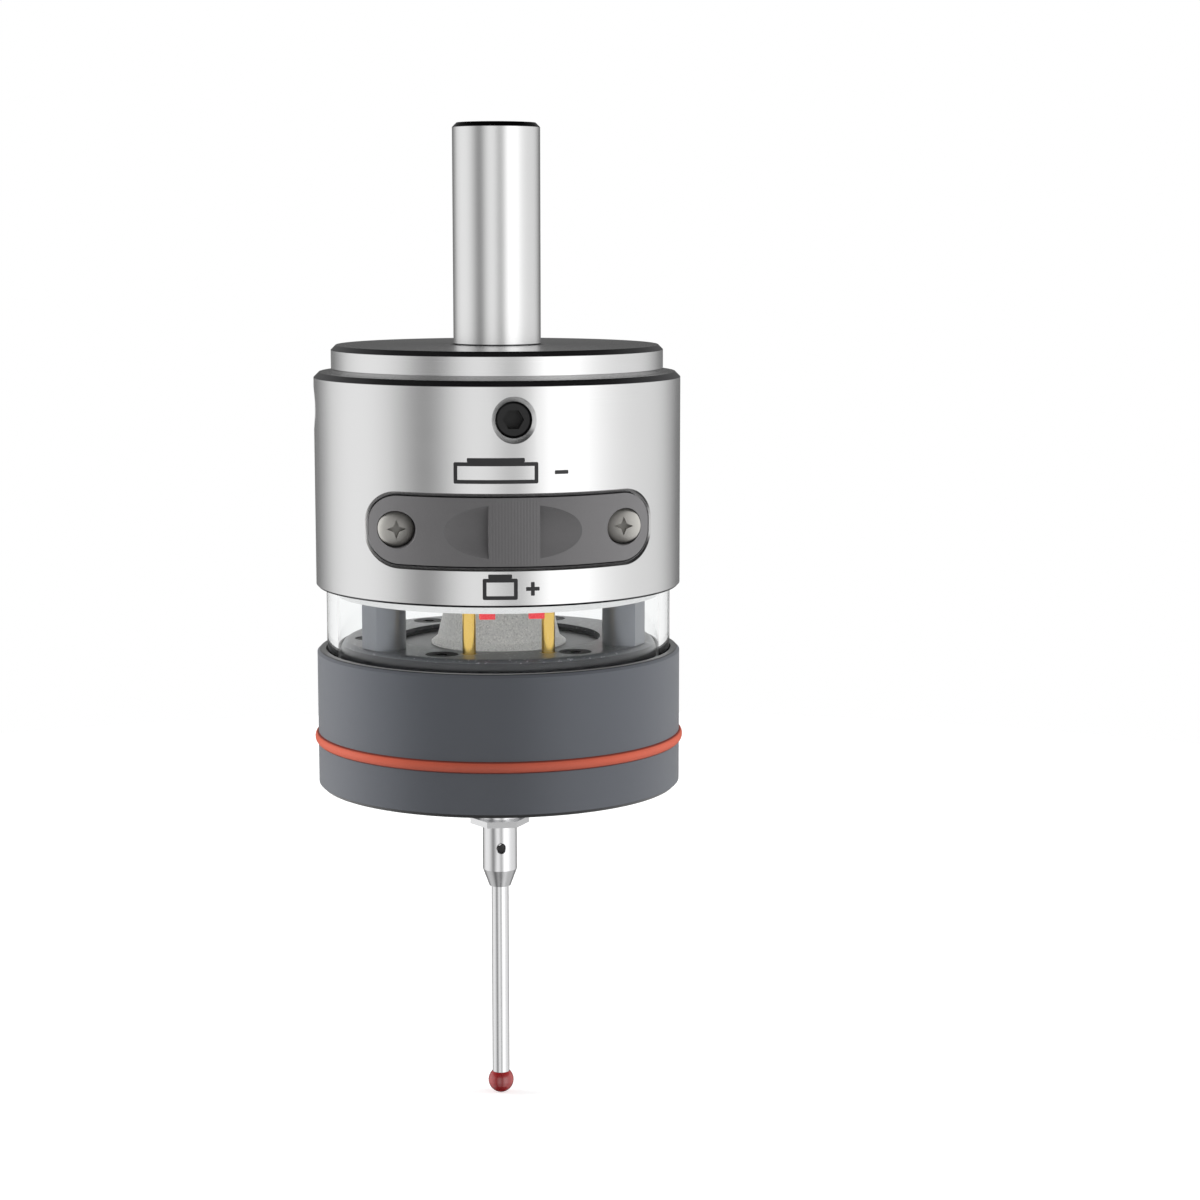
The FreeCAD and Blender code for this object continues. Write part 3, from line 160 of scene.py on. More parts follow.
def makeWorld():
    world = bpy.data.worlds.new("studio")
    bpy.context.scene.world = world
    world.use_nodes = True
    tree = world.node_tree
    tree.nodes.clear()
    place = addNode(tree, "TexCoord").outputs["Generated"]
    turned = addNode(tree, "Mapping", {"Vector": place, "Rotation": (0, 0, math.radians(90 + view["turn"]))})
    sweep = addNode(tree, "TexGradient", {"Vector": turned.outputs[0]}, gradient_type="RADIAL").outputs["Fac"]
    stops = [(0.5 + angle / 360, shade / studio["peak"]) for angle, shade in studio["panels"]]
    panels = addRamp(tree, sweep, stops)
    rise = along(tree, place, "Z")
    heights = addRamp(tree, maths(tree, "MULTIPLY_ADD", rise, 0.5, 0.5), studio["heights"])
    shine = maths(tree, "MULTIPLY", maths(tree, "MULTIPLY", panels, heights), studio["peak"])
    rays = addNode(tree, "LightPath").outputs
    # Glossy rays see the white backdrop as panels with soft gaps, and dull surfaces get an even fill
    strength = blendValues(tree, rays["Is Glossy Ray"], studio["fill"], shine)
    # The camera sees it plain white, directly and through glass
    plain = maths(tree, "MAXIMUM", rays["Is Camera Ray"], rays["Is Transmission Ray"])
    strength = blendValues(tree, plain, strength, 1.0)
    background = addNode(tree, "Background", {"Color": (1, 1, 1, 1), "Strength": strength})
    addNode(tree, "OutputWorld", {"Surface": background.outputs[0]})


def makeLamps():
    aim = Vector((0, 0, studio["lampAim"] * mm))
    for name, degrees, up, size, strength in studio["lamps"]:
        lamp = bpy.data.lights.new(name, "AREA")
        lamp.size = size
        # Strength 1 shows a white card that faces the lamp as white
        lamp.energy = strength * (math.pi * studio["lampDistance"]) ** 2
        holder = bpy.data.objects.new(name, lamp)
        bpy.context.scene.collection.objects.link(holder)
        direction = roundDirection(degrees, up)
        holder.location = direction * studio["lampDistance"] + aim
        holder.rotation_euler = direction.to_track_quat("Z", "Y").to_euler()
        holder.visible_camera = False
        holder.visible_glossy = False
        holder.visible_transmission = False


def makeFloor():
    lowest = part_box("ruby_ball")[0].z
    shape = bmesh.new()
    bmesh.ops.create_circle(shape, cap_ends=True, segments=floor["sides"], radius=floor["radius"],
                            matrix=Matrix.Translation((0, 0, lowest - floor["drop"] * mm)))
    mesh = bpy.data.meshes.new("floor")
    shape.to_mesh(mesh)
    shape.free()
    plane = bpy.data.objects.new("floor", mesh)
    bpy.context.scene.collection.objects.link(plane)
    material = bpy.data.materials.new("floorPaper")
    material.use_nodes = True
    tree = material.node_tree
    tree.nodes.clear()
    paper = addNode(tree, "BsdfDiffuse", {"Color": floor["colour"]})
    rays = addNode(tree, "LightPath").outputs
    seen = maths(tree, "MAXIMUM", rays["Is Camera Ray"], rays["Is Transmission Ray"])
    glow = addNode(tree, "Emission", {"Strength": maths(tree, "MULTIPLY", seen, floor["glow"])})
    both = addNode(tree, "AddShader", {0: paper.outputs[0], 1: glow.outputs[0]})
    addNode(tree, "OutputMaterial", {"Surface": both.outputs[0]})
    mesh.materials.append(material)
    plane.visible_glossy = False


makeCamera()
makeWorld()
makeLamps()
makeFloor()
bpy.context.scene.view_settings.view_transform = "Standard"
print("studio ready")


# Effects that several materials share

latheLines = {
    "onFaces": 0.73,       # number of lines across a flat face, against down a wall
    "detail": 3.0,
    "roughness": 0.65,
    "cloudScale": 220.0,
    "cloudShare": 0.35,    # of the clouds in the colour, against the lines
    "glossSwing": 0.45,    # of lines and clouds in the roughness
}

fleckNoise = {
    "detail": 2.0,
    "roughness": 0.7,
    "rarest": 0.72,        # the noise has to pass this at a share of 0
    "widening": 0.3,       # a share of 1 lowers it by this
}

skinNoise = {
    "grainDetail": 3.0,
    "grainShade": 0.10,
    "cloudScale": 180.0,
    "cloudShade": 0.14,
    "cloudGloss": 0.16,
    "base": 0.88,          # share of the colour where both noises are 0
}


def display(red, green, blue):
    # Linear colour of a colour as a screen shows it, by the usual screen curve
    linear = []
    for part in (red / 255, green / 255, blue / 255):
        if part <= 0.04045:
            linear.append(part / 12.92)
        else:
            linear.append(((part + 0.055) / 1.055) ** 2.4)
    return (*linear, 1)


def startGroup(name, inputs, outputs):
    group = bpy.data.node_groups.new(name, "ShaderNodeTree")
    for label, kind, value in inputs:
        socket = group.interface.new_socket(name=label, in_out="INPUT", socket_type="NodeSocket" + kind)
        socket.default_value = value
    for label, kind in outputs:
        group.interface.new_socket(name=label, in_out="OUTPUT", socket_type="NodeSocket" + kind)
    return group, group.nodes.new("NodeGroupInput").outputs, group.nodes.new("NodeGroupOutput").inputs


def objectPlace(tree):
    return addNode(tree, "TexCoord").outputs["Object"]


def axisDistance(tree, place):
    flat = addNode(tree, "VectorMath", {0: place, 1: (1, 1, 0)}, operation="MULTIPLY").outputs[0]
    return addNode(tree, "VectorMath", {0: flat}, operation="LENGTH").outputs["Value"]


def addNoise(tree, place, scale, detail=2.0, roughness=0.5):
    return addNode(tree, "TexNoise", {
        "Vector": place, "Scale": scale, "Detail": detail, "Roughness": roughness}).outputs["Fac"]


def swingOf(tree, noise, amount):
    # Noise from 0 to 1 as a swing to either side of nothing
    return maths(tree, "MULTIPLY", maths(tree, "SUBTRACT", noise, 0.5), amount)


def scaleColour(tree, colour, share):
    return addNode(tree, "VectorMath", {0: colour, "Scale": share}, operation="SCALE").outputs[0]


def makeTurnedLines():
    # Fine lines left by the lathe, round the axis on walls and on faces alike
    group, given, wanted = startGroup("turnedLines", [
        ("Colour", "Color", (0.5, 0.5, 0.5, 1)), ("Roughness", "Float", 0.3),
        ("Fineness", "Float", 4000.0), ("Amount", "Float", 0.1)],
        [("Colour", "Color"), ("Roughness", "Float"), ("Height", "Float")])
    place = objectPlace(group)
    level = along(group, place, "Z")
    run = maths(group, "MULTIPLY_ADD", axisDistance(group, place), latheLines["onFaces"], level)
    lines = addNode(group, "TexNoise", {
        "W": maths(group, "MULTIPLY", run, given["Fineness"]), "Scale": 1.0,
        "Detail": latheLines["detail"], "Roughness": latheLines["roughness"],
    }, noise_dimensions="1D").outputs["Fac"]
    lineSwing = swingOf(group, lines, given["Amount"])
    cloudSwing = swingOf(group, addNoise(group, place, latheLines["cloudScale"]), given["Amount"])
    cloudShade = maths(group, "MULTIPLY", cloudSwing, latheLines["cloudShare"])
    shade = maths(group, "ADD", maths(group, "ADD", lineSwing, 1.0), cloudShade)
    gloss = maths(group, "MULTIPLY", maths(group, "ADD", lineSwing, cloudSwing), latheLines["glossSwing"])
    group.links.new(scaleColour(group, given["Colour"], shade), wanted["Colour"])
    group.links.new(maths(group, "ADD", given["Roughness"], gloss), wanted["Roughness"])
    group.links.new(lines, wanted["Height"])
    return group


def makeZone():
    # 1 between two levels and outside a radius, fading over the edge width
    group, given, wanted = startGroup("zone", [
        ("Low", "Float", 0.0), ("High", "Float", 0.0),
        ("Radius", "Float", 0.0), ("Edge", "Float", 0.03 * mm)],
        [("Mask", "Float")])
    place = objectPlace(group)
    level = along(group, place, "Z")
    radius = axisDistance(group, place)
    masks = []
    for more, less in ((level, given["Low"]), (given["High"], level), (radius, given["Radius"])):
        gap = maths(group, "DIVIDE", maths(group, "SUBTRACT", more, less), given["Edge"])
        masks.append(maths(group, "ADD", gap, 0.5, clamp=True))
    between = maths(group, "MULTIPLY", masks[0], masks[1])
    group.links.new(maths(group, "MULTIPLY", between, masks[2]), wanted["Mask"])
    return group


def makeFlecks():
    # Scattered small points
    group, given, wanted = startGroup("flecks", [
        ("Scale", "Float", 3000.0), ("Share", "Float", 0.1), ("Softness", "Float", 0.1)],
        [("Mask", "Float")])
    points = addNoise(group, objectPlace(group), given["Scale"],
                      fleckNoise["detail"], fleckNoise["roughness"])
    lowered = maths(group, "MULTIPLY", given["Share"], fleckNoise["widening"])
    start = maths(group, "SUBTRACT", fleckNoise["rarest"], lowered)
    over = maths(group, "DIVIDE", maths(group, "SUBTRACT", points, start), given["Softness"], clamp=True)
    group.links.new(over, wanted["Mask"])
    return group


def makeMouldedSkin():
    # Slightly uneven skin of a moulded part
    group, given, wanted = startGroup("mouldedSkin", [
        ("Colour", "Color", (0.1, 0.1, 0.1, 1)), ("Roughness", "Float", 0.5), ("Grain", "Float", 5000.0)],
        [("Colour", "Color"), ("Roughness", "Float"), ("Height", "Float")])
    place = objectPlace(group)
    grain = addNoise(group, place, given["Grain"], skinNoise["grainDetail"])
    cloud = addNoise(group, place, skinNoise["cloudScale"])
    cloudShade = maths(group, "MULTIPLY_ADD", cloud, skinNoise["cloudShade"], skinNoise["base"])
    shade = maths(group, "MULTIPLY_ADD", grain, skinNoise["grainShade"], cloudShade)
    gloss = maths(group, "MULTIPLY_ADD", cloud, skinNoise["cloudGloss"], -skinNoise["cloudGloss"] / 2)
    group.links.new(scaleColour(group, given["Colour"], shade), wanted["Colour"])
    group.links.new(maths(group, "ADD", given["Roughness"], gloss), wanted["Roughness"])
    group.links.new(grain, wanted["Height"])
    return group


turnedLines = makeTurnedLines()
zone = makeZone()
flecks = makeFlecks()
mouldedSkin = makeMouldedSkin()
print("shared effects ready")


def placeGroup(tree, group, values):
    node = tree.nodes.new("ShaderNodeGroup")
    node.node_tree = group
    fillSockets(tree, node, values)
    return node.outputs


def startMaterial(name, constants):
    material = bpy.data.materials.new(name)
    material.use_nodes = True
    tree = material.node_tree
    tree.nodes.clear()
    shader = addNode(tree, "BsdfPrincipled", constants)
    addNode(tree, "OutputMaterial", {"Surface": shader.outputs[0]})
    return material, tree, shader.inputs


def addBump(tree, sockets, height, strength, depth):
    bump = addNode(tree, "Bump", {"Height": height, "Strength": strength, "Distance": depth * mm})
    tree.links.new(bump.outputs[0], sockets["Normal"])


def dress(material, *names):
    for name in names:
        mesh = nodes[name].data
        mesh.materials.clear()
        mesh.materials.append(material)


sortDirection = Vector((1.0, 1.7, 3.1))  # no two parts of a piece lie level along it


def levelOf(vert):
    return (vert.co + vert.normal * mm).dot(sortDirection)


def orderParts(shape):
    # The operators leave a shape's parts in a chance order, so they get one by place and normal
    shape.normal_update()
    shape.verts.sort(key=levelOf)
    shape.edges.sort(key=lambda edge: levelOf(edge.verts[0]) + levelOf(edge.verts[1]))
    shape.faces.sort(key=lambda face: (face.calc_center_median() + face.normal * mm).dot(sortDirection))


def addPiece(name, shape, material, body):
    orderParts(shape)
    mesh = bpy.data.meshes.new(name)
    shape.to_mesh(mesh)
    shape.free()
    mesh.materials.append(material)
    piece = bpy.data.objects.new(name, mesh)
    bpy.context.scene.collection.objects.link(piece)
    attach(piece, body)
    return piece


# Turned and ground metal. Fineness counts the steps of the lathe lines in a metre. Edges get painted shade
# between two levels and outside a radius, and bores get painted shade between two levels and inside one, all
# in mm.

metals = {
    "shank": {
        "nodes": ["shank"],
        "colour": (229, 229, 229), "roughness": 0.23, "anisotropic": 0.35, "fineness": 9000, "amount": 0.06,
        # Painted reflection on the top chamfer, dark like the surroundings it mirrors, and a painted shade
        # ring at the foot
        "edges": [(24.46, 26.0, 4.0), (-0.2, 0.16, 4.9)], "paintedShade": (70, 70, 72),
    },
    "flange": {
        "nodes": ["top_flange"],
        "colour": (229, 229, 229), "roughness": 0.25, "anisotropic": 0.45, "fineness": 7000, "amount": 0.09,
        # Painted reflection on the top chamfer, darker like the surroundings it mirrors
        "edges": [(-0.56, -0.01, 18.42)], "paintedShade": (150, 150, 152),
    },
    "upperHousing": {
        "nodes": ["upper_housing"],
        "colour": (229, 229, 229), "roughness": 0.25, "anisotropic": 0.35, "fineness": 7000, "amount": 0.07,
        # Painted reflection on the two chamfers, darker like the surroundings they mirror
        "edges": [(-3.66, -3.04, 20.36), (-27.9, -27.29, 20.7)], "paintedShade": (150, 150, 152),
    },
    "stylus": {
        "nodes": ["stylus_carrier", "stylus_holder", "stylus_stem"],
        "colour": (231, 231, 232), "roughness": 0.2, "anisotropic": 0.3, "fineness": 12000, "amount": 0.05,
        # Painted shade inside the holder's cross bore
        "bores": [(-59.5, -57.9, 1.9)], "paintedShade": (16, 16, 17),
    },
    "hardened": {
        "nodes": ["spring_plunger", "pivot_ball", "seat_ring"]
        + [f"contact_rod_{number}" for number in range(1, 4)]
        + [f"seat_ball_{number}" for number in range(1, 7)],
        "colour": (214, 214, 217), "roughness": 0.12, "fineness": 15000, "amount": 0.03,
    },
    "spring": {
        "nodes": ["return_spring"],
        "colour": (176, 176, 178), "roughness": 0.3, "fineness": 9000, "amount": 0.1,
    },
    "cell": {
        "nodes": ["battery_cell"],
        "colour": (222, 221, 218), "roughness": 0.28, "fineness": 6000, "amount": 0.06,
    },
    "pins": {
        "nodes": ["contact_pin_1", "contact_pin_2"],
        "colour": (232, 196, 112), "roughness": 0.2, "fineness": 9000, "amount": 0.12,
    },
    "contacts": {
        "nodes": ["negative_contact", "positive_contact"],
        "colour": (226, 190, 120), "roughness": 0.3, "fineness": 9000, "amount": 0.1,
    },
}

latheBump = {"metal": 0.04, "anodised": 0.05, "depth": 0.01}  # depth in mm


def makeTurnedFinish(name, piece, constants, bump):
    # Lathe lines in the piece's own colour, with flecks, and painted shade on edges and bores, where it has
    # them
    material, tree, sockets = startMaterial(name, constants)
    lines = placeGroup(tree, turnedLines, {
        "Colour": display(*piece["colour"]), "Roughness": piece["roughness"],
        "Fineness": float(piece["fineness"]), "Amount": piece["amount"]})
    colour = lines["Colour"]
    if "flecks" in piece:
        points = piece["flecks"]
        mask = placeGroup(tree, flecks, {
            "Scale": points["scale"], "Share": points["share"], "Softness": points["softness"]})["Mask"]
        colour = blendColours(tree, mask, colour, display(*points["colour"]))
    # Painted shade on edges, standing in for the dark surroundings that chamfers mirror and the shade at a
    # foot
    for low, high, radius in piece.get("edges", []):
        mask = placeGroup(tree, zone, {"Low": low * mm, "High": high * mm, "Radius": radius * mm})["Mask"]
        colour = blendColours(tree, mask, colour, display(*piece["paintedShade"]))
    # Painted shade inside bores
    for low, high, radius in piece.get("bores", []):
        level = placeGroup(tree, zone, {"Low": low * mm, "High": high * mm})["Mask"]
        wall = placeGroup(tree, zone, {"Low": low * mm, "High": high * mm, "Radius": radius * mm})["Mask"]
        inside = maths(tree, "SUBTRACT", level, wall, clamp=True)
        colour = blendColours(tree, inside, colour, display(*piece["paintedShade"]))
    tree.links.new(colour, sockets["Base Color"])
    tree.links.new(lines["Roughness"], sockets["Roughness"])
    addBump(tree, sockets, lines["Height"], bump, latheBump["depth"])
    dress(material, *piece["nodes"])
    return material, tree, sockets


def makeTurnedMetal(name, piece):
    stretch = piece.get("anisotropic", 0.0)
    material, tree, sockets = makeTurnedFinish(name + "Metal", piece, {
        "Metallic": 1.0, "Anisotropic": stretch}, latheBump["metal"])
    if stretch:
        tangent = addNode(tree, "Tangent", direction_type="RADIAL", axis="Z")
        tree.links.new(tangent.outputs[0], sockets["Tangent"])
    return material


finishes = {name: makeTurnedMetal(name, piece) for name, piece in metals.items()}
print("turned metal ready")


# Return spring, built as a fixed coil; the real one shortens as the plunger lifts

coil = {
    "wire": 0.6,           # mm
    "turns": 3,
    "steps": 48,           # in each turn
    "sides": 14,
    "travel": 1.8,         # of the plunger, mm
}


def makeReturnSpring():
    low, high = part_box("return_spring")
    wire = coil["wire"] * mm
    steps = coil["turns"] * coil["steps"]
    rise = (high.z - low.z - wire) / steps
    start = Matrix.Translation((high.x - wire / 2, 0, low.z + wire / 2))
    upright = Matrix.Rotation(math.pi / 2, 4, "X")
    shape = bmesh.new()
    bmesh.ops.create_circle(shape, cap_ends=False, segments=coil["sides"], radius=wire / 2,
                            matrix=start @ upright)
    bmesh.ops.spin(shape, geom=shape.verts[:] + shape.edges[:], cent=(0, 0, 0), axis=(0, 0, 1),
                   dvec=(0, 0, rise), angle=coil["turns"] * 2 * math.pi, steps=steps, use_merge=False)
    ends = [edge for edge in shape.edges if edge.is_boundary]
    caps = bmesh.ops.holes_fill(shape, edges=ends, sides=coil["sides"])["faces"]
    bmesh.ops.recalc_face_normals(shape, faces=shape.faces[:])
    for face in set(shape.faces) - set(caps):
        face.smooth = True
    piece = addPiece("returnSpringCoil", shape, finishes["spring"], "root")
    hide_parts("return_spring")
    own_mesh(piece)


makeReturnSpring()
print("spring ready")


# Dark anodised parts, with painted shade on their edges given as for the metals

anodised = {
    "lowerHousing": {
        "nodes": ["lower_housing"],
        "colour": (80, 83, 89), "roughness": 0.42, "fineness": 6000, "amount": 0.05,
        "metallic": 0.1, "ior": 1.42, "coat": 0.0, "sheen": 0.26,
        # Painted shade: a dark line at the foot chamfer and a dark rim top face, standing in for the dark
        # surroundings they mirror
        "edges": [(-51.0, -50.44, 20.5), (-34.98, -34.5, 0.0)], "paintedShade": (24, 25, 27),
    },
    "basePlate": {
        "nodes": ["base_plate"],
        "colour": (104, 106, 110), "roughness": 0.34, "fineness": 5000, "amount": 0.06,
        "metallic": 0.1, "ior": 1.6, "coat": 0.1, "sheen": 0.0,
        "flecks": {"scale": 2600.0, "share": 0.3, "softness": 0.05, "colour": (206, 208, 212)},
        # Painted shade on the plate's rounded edge below its top face
        "edges": [(-36.5, -34.15, 0.0)], "paintedShade": (58, 59, 62),
    },
    "posts": {
        "nodes": ["support_post_1", "support_post_2", "support_post_3"],
        "colour": (128, 131, 137), "roughness": 0.3, "fineness": 5000, "amount": 0.05,
        "metallic": 0.5, "ior": 1.7, "coat": 0.1, "sheen": 0.0,
    },
}

anodisedLayers = {"coatRoughness": 0.22, "sheenRoughness": 0.45}


def makeAnodised(name, piece):
    makeTurnedFinish(name + "Anodised", piece, {
        "Metallic": piece["metallic"], "IOR": piece["ior"],
        "Coat Weight": piece["coat"], "Coat Roughness": anodisedLayers["coatRoughness"],
        "Sheen Weight": piece["sheen"], "Sheen Roughness": anodisedLayers["sheenRoughness"],
    }, latheBump["anodised"])


for name, piece in anodised.items():
    makeAnodised(name, piece)
print("anodised parts ready")


# Plastic, rubber and blackened screws

moulded = {
    "batteryCover": {
        "nodes": ["battery_cover"],
        "colour": (105, 104, 105), "roughness": 0.55, "grain": 5200, "bump": 0.12,
        # Pitch, and reach to each side of the middle, in mm, and height against the grain's
        "ribs": {"pitch": 0.34, "reach": 2.7, "height": 1.6},
    },
    "insulator": {
        "nodes": ["battery_sleeve", "ball_ring"],
        "colour": (44, 45, 47), "roughness": 0.5, "grain": 4200, "bump": 0.1,
    },
    "bushes": {
        "nodes": ["pin_bush_1", "pin_bush_2"],
        "colour": (186, 176, 150), "roughness": 0.5, "grain": 6000, "bump": 0.1,
    },
    "bumper": {
        "nodes": ["bumper_ring"],
        "colour": (178, 80, 58), "roughness": 0.46, "grain": 6500, "bump": 0.08,
        # Its full colour lies between two levels, and past them it darkens with painted shade on its top and
        # bottom
        "band": {"low": -45.68, "high": -44.66, "edge": 0.12, "outside": (104, 40, 30)},
    },
    # Blackened steel, darkened further as painted shade of the deep holes they sit in
    "setScrews": {
        "nodes": ["centering_screws"],
        "colour": (14, 14, 15), "roughness": 0.34, "grain": 9000, "bump": 0.1,
    },
    "plateScrews": {
        "nodes": ["plate_screws", "post_screws"],
        "colour": (12, 12, 13), "roughness": 0.62, "grain": 9000, "bump": 0.1,
    },
}

mouldedBody = {"ior": 1.5, "bumpDepth": 0.03}  # depth in mm


def placeSkin(tree, piece):
    return placeGroup(tree, mouldedSkin, {
        "Colour": display(*piece["colour"]), "Roughness": piece["roughness"], "Grain": float(piece["grain"])})


def addRibs(tree, height, ribs):
    # Faint upright lines on the finger ridge
    across = along(tree, objectPlace(tree), "X")
    wave = maths(tree, "SINE", maths(tree, "MULTIPLY", across, 2 * math.pi / (ribs["pitch"] * mm)))
    onRidge = maths(tree, "LESS_THAN", maths(tree, "ABSOLUTE", across), ribs["reach"] * mm)
    lines = maths(tree, "MULTIPLY", maths(tree, "MULTIPLY", wave, onRidge), ribs["height"])
    return maths(tree, "ADD", height, lines)


def makeMoulded(name, piece):
    material, tree, sockets = startMaterial(name + "Finish", {"IOR": mouldedBody["ior"]})
    skin = placeSkin(tree, piece)
    colour = skin["Colour"]
    height = skin["Height"]
    if "band" in piece:
        band = piece["band"]
        mask = placeGroup(tree, zone, {
            "Low": band["low"] * mm, "High": band["high"] * mm, "Edge": band["edge"] * mm})["Mask"]
        # Painted shade above and below the band
        colour = blendColours(tree, mask, display(*band["outside"]), colour)
    if "ribs" in piece:
        height = addRibs(tree, height, piece["ribs"])
    tree.links.new(colour, sockets["Base Color"])
    tree.links.new(skin["Roughness"], sockets["Roughness"])
    addBump(tree, sockets, height, piece["bump"], mouldedBody["bumpDepth"])
    dress(material, *piece["nodes"])


for name, piece in moulded.items():
    makeMoulded(name, piece)


coverScrews = {
    "colour": (176, 174, 169), "roughness": 0.52, "metallic": 0.15, "grain": 7000,
    "bump": 0.06, "bumpDepth": 0.02,  # depth in mm
    "weld": 0.001,         # doubles this close are merged, mm
    "sharpFrom": 32,       # degrees
}


def makeCoverScrewFinish():
    material, tree, sockets = startMaterial("coverScrewPlating", {"Metallic": coverScrews["metallic"]})
    skin = placeSkin(tree, coverScrews)
    tree.links.new(skin["Colour"], sockets["Base Color"])
    tree.links.new(skin["Roughness"], sockets["Roughness"])
    addBump(tree, sockets, skin["Height"], coverScrews["bump"], coverScrews["bumpDepth"])
    return material


def makeCoverScrews():
    # The left screw with its recess, and its mirror image on the right
    shape = bmesh.new()
    shape.from_mesh(nodes["cover_screws"].data)
    bmesh.ops.remove_doubles(shape, verts=shape.verts[:], dist=coverScrews["weld"] * mm)
    bmesh.ops.delete(shape, geom=[vert for vert in shape.verts if vert.co.x > 0], context="VERTS")
    other = bmesh.ops.duplicate(shape, geom=shape.verts[:] + shape.edges[:] + shape.faces[:])["geom"]
    otherVerts = [part for part in other if isinstance(part, bmesh.types.BMVert)]
    bmesh.ops.scale(shape, vec=(-1, 1, 1), verts=otherVerts)
    bmesh.ops.recalc_face_normals(shape, faces=shape.faces[:])
    for face in shape.faces:
        face.smooth = True
    for edge in shape.edges:
        edge.smooth = edge.calc_face_angle(0) < math.radians(coverScrews["sharpFrom"])
    piece = addPiece("coverScrewPair", shape, makeCoverScrewFinish(), "root")
    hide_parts("cover_screws")


makeCoverScrews()
print("plastic and screws ready")


# Window, lights, diffuser, board and ruby

clearWindow = {
    "colour": (0.985, 0.99, 0.99, 1), "cloudy": (0.955, 0.965, 0.965, 1), "cloudScale": 90.0,
    "ior": 1.13,           # low, so that the wall bends little of what stands behind it
}


def makeWindow():
    material, tree, sockets = startMaterial("clearWindow", {
        "Roughness": 0.0, "IOR": clearWindow["ior"], "Transmission Weight": 1.0})
    clouds = addNoise(tree, objectPlace(tree), clearWindow["cloudScale"])
    colour = blendColours(tree, clouds, clearWindow["colour"], clearWindow["cloudy"])
    tree.links.new(colour, sockets["Base Color"])
    dress(material, "window_ring")


redLights = {
    "colour": (226, 44, 56), "paler": (238, 78, 84), "patchScale": 2500.0,
    "roughness": 0.25, "glow": 0.35,
}


def makeLights():
    material, tree, sockets = startMaterial("redLights", {
        "Roughness": redLights["roughness"], "Emission Strength": redLights["glow"]})
    patches = addNoise(tree, objectPlace(tree), redLights["patchScale"])
    colour = blendColours(tree, patches, display(*redLights["colour"]), display(*redLights["paler"]))
    tree.links.new(colour, sockets["Base Color"])
    tree.links.new(colour, sockets["Emission Color"])
    dress(material, *[f"light_{number}" for number in range(1, 7)])


frostedCap = {
    # Painted light: the cap glows in its own colour, and that colour is lighter, both standing in for lamp
    # light that the housing and window hold back
    "colour": (214, 213, 211), "roughness": 0.55, "ior": 1.45, "glow": 0.30,
    "bright": {"colour": (244, 242, 238), "scale": 6500.0, "share": 0.62, "softness": 0.12},
    "dark": {
        "colour": (188, 187, 185), "scale": 5600.0, "shift": (0.05, 0.03, 0.01), "from": 0.52, "gain": 6.0,
    },
    "bump": 0.5, "bumpDepth": 0.05,  # depth in mm
}


def makeDiffuser():
    material, tree, sockets = startMaterial("frostedCap", {
        "IOR": frostedCap["ior"], "Roughness": frostedCap["roughness"],
        "Emission Strength": frostedCap["glow"]})
    bright = frostedCap["bright"]
    dark = frostedCap["dark"]
    brightMask = placeGroup(tree, flecks, {
        "Scale": bright["scale"], "Share": bright["share"], "Softness": bright["softness"]})["Mask"]
    shifted = addNode(tree, "Mapping", {"Vector": objectPlace(tree), "Location": dark["shift"]}).outputs[0]
    darkNoise = addNoise(tree, shifted, dark["scale"])
    over = maths(tree, "SUBTRACT", darkNoise, dark["from"])
    darkMask = maths(tree, "MULTIPLY", over, dark["gain"], clamp=True)
    colour = blendColours(tree, brightMask, display(*frostedCap["colour"]), display(*bright["colour"]))
    colour = blendColours(tree, darkMask, colour, display(*dark["colour"]))
    tree.links.new(colour, sockets["Base Color"])
    # Painted light: the cap's own glow
    tree.links.new(colour, sockets["Emission Color"])
    addBump(tree, sockets, darkNoise, frostedCap["bump"], frostedCap["bumpDepth"])
    dress(material, "light_diffuser")


circuitBoard = {
    "colour": (18, 74, 46), "tracks": (34, 104, 66), "roughness": 0.3, "coat": 0.4,
    "cellScale": 420.0, "cellDisorder": 0.35, "trackWidth": 0.06,
    "bump": 0.3, "bumpDepth": 0.03,  # depth in mm
}


def makeBoard():
    material, tree, sockets = startMaterial("boardLacquer", {
        "Roughness": circuitBoard["roughness"], "Coat Weight": circuitBoard["coat"]})
    edges = addNode(tree, "TexVoronoi", {
        "Vector": objectPlace(tree), "Scale": circuitBoard["cellScale"],
        "Randomness": circuitBoard["cellDisorder"],
    }, feature="DISTANCE_TO_EDGE", distance="CHEBYCHEV").outputs["Distance"]
    tracks = maths(tree, "LESS_THAN", edges, circuitBoard["trackWidth"])
    colour = blendColours(tree, tracks, display(*circuitBoard["colour"]), display(*circuitBoard["tracks"]))
    tree.links.new(colour, sockets["Base Color"])
    addBump(tree, sockets, tracks, circuitBoard["bump"], circuitBoard["bumpDepth"])
    dress(material, "circuit_board")


rubyBall = {
    "colour": (132, 30, 34), "paler": (150, 40, 40), "cloudScale": 900.0, "cloudDetail": 3.0,
    "roughness": 0.07, "roughnessSwing": 0.05, "ior": 1.77, "coat": 0.3, "coatRoughness": 0.05,
}


def makeRuby():
    material, tree, sockets = startMaterial("ruby", {
        "IOR": rubyBall["ior"], "Coat Weight": rubyBall["coat"], "Coat Roughness": rubyBall["coatRoughness"]})
    clouds = addNoise(tree, objectPlace(tree), rubyBall["cloudScale"], rubyBall["cloudDetail"])
    colour = blendColours(tree, clouds, display(*rubyBall["colour"]), display(*rubyBall["paler"]))
    gloss = maths(tree, "MULTIPLY_ADD", clouds, rubyBall["roughnessSwing"], rubyBall["roughness"])
    tree.links.new(colour, sockets["Base Color"])
    tree.links.new(gloss, sockets["Roughness"])
    dress(material, "ruby_ball")


makeWindow()
makeLights()
makeDiffuser()
makeBoard()
makeRuby()
print("window, lights, diffuser, board and ruby ready")


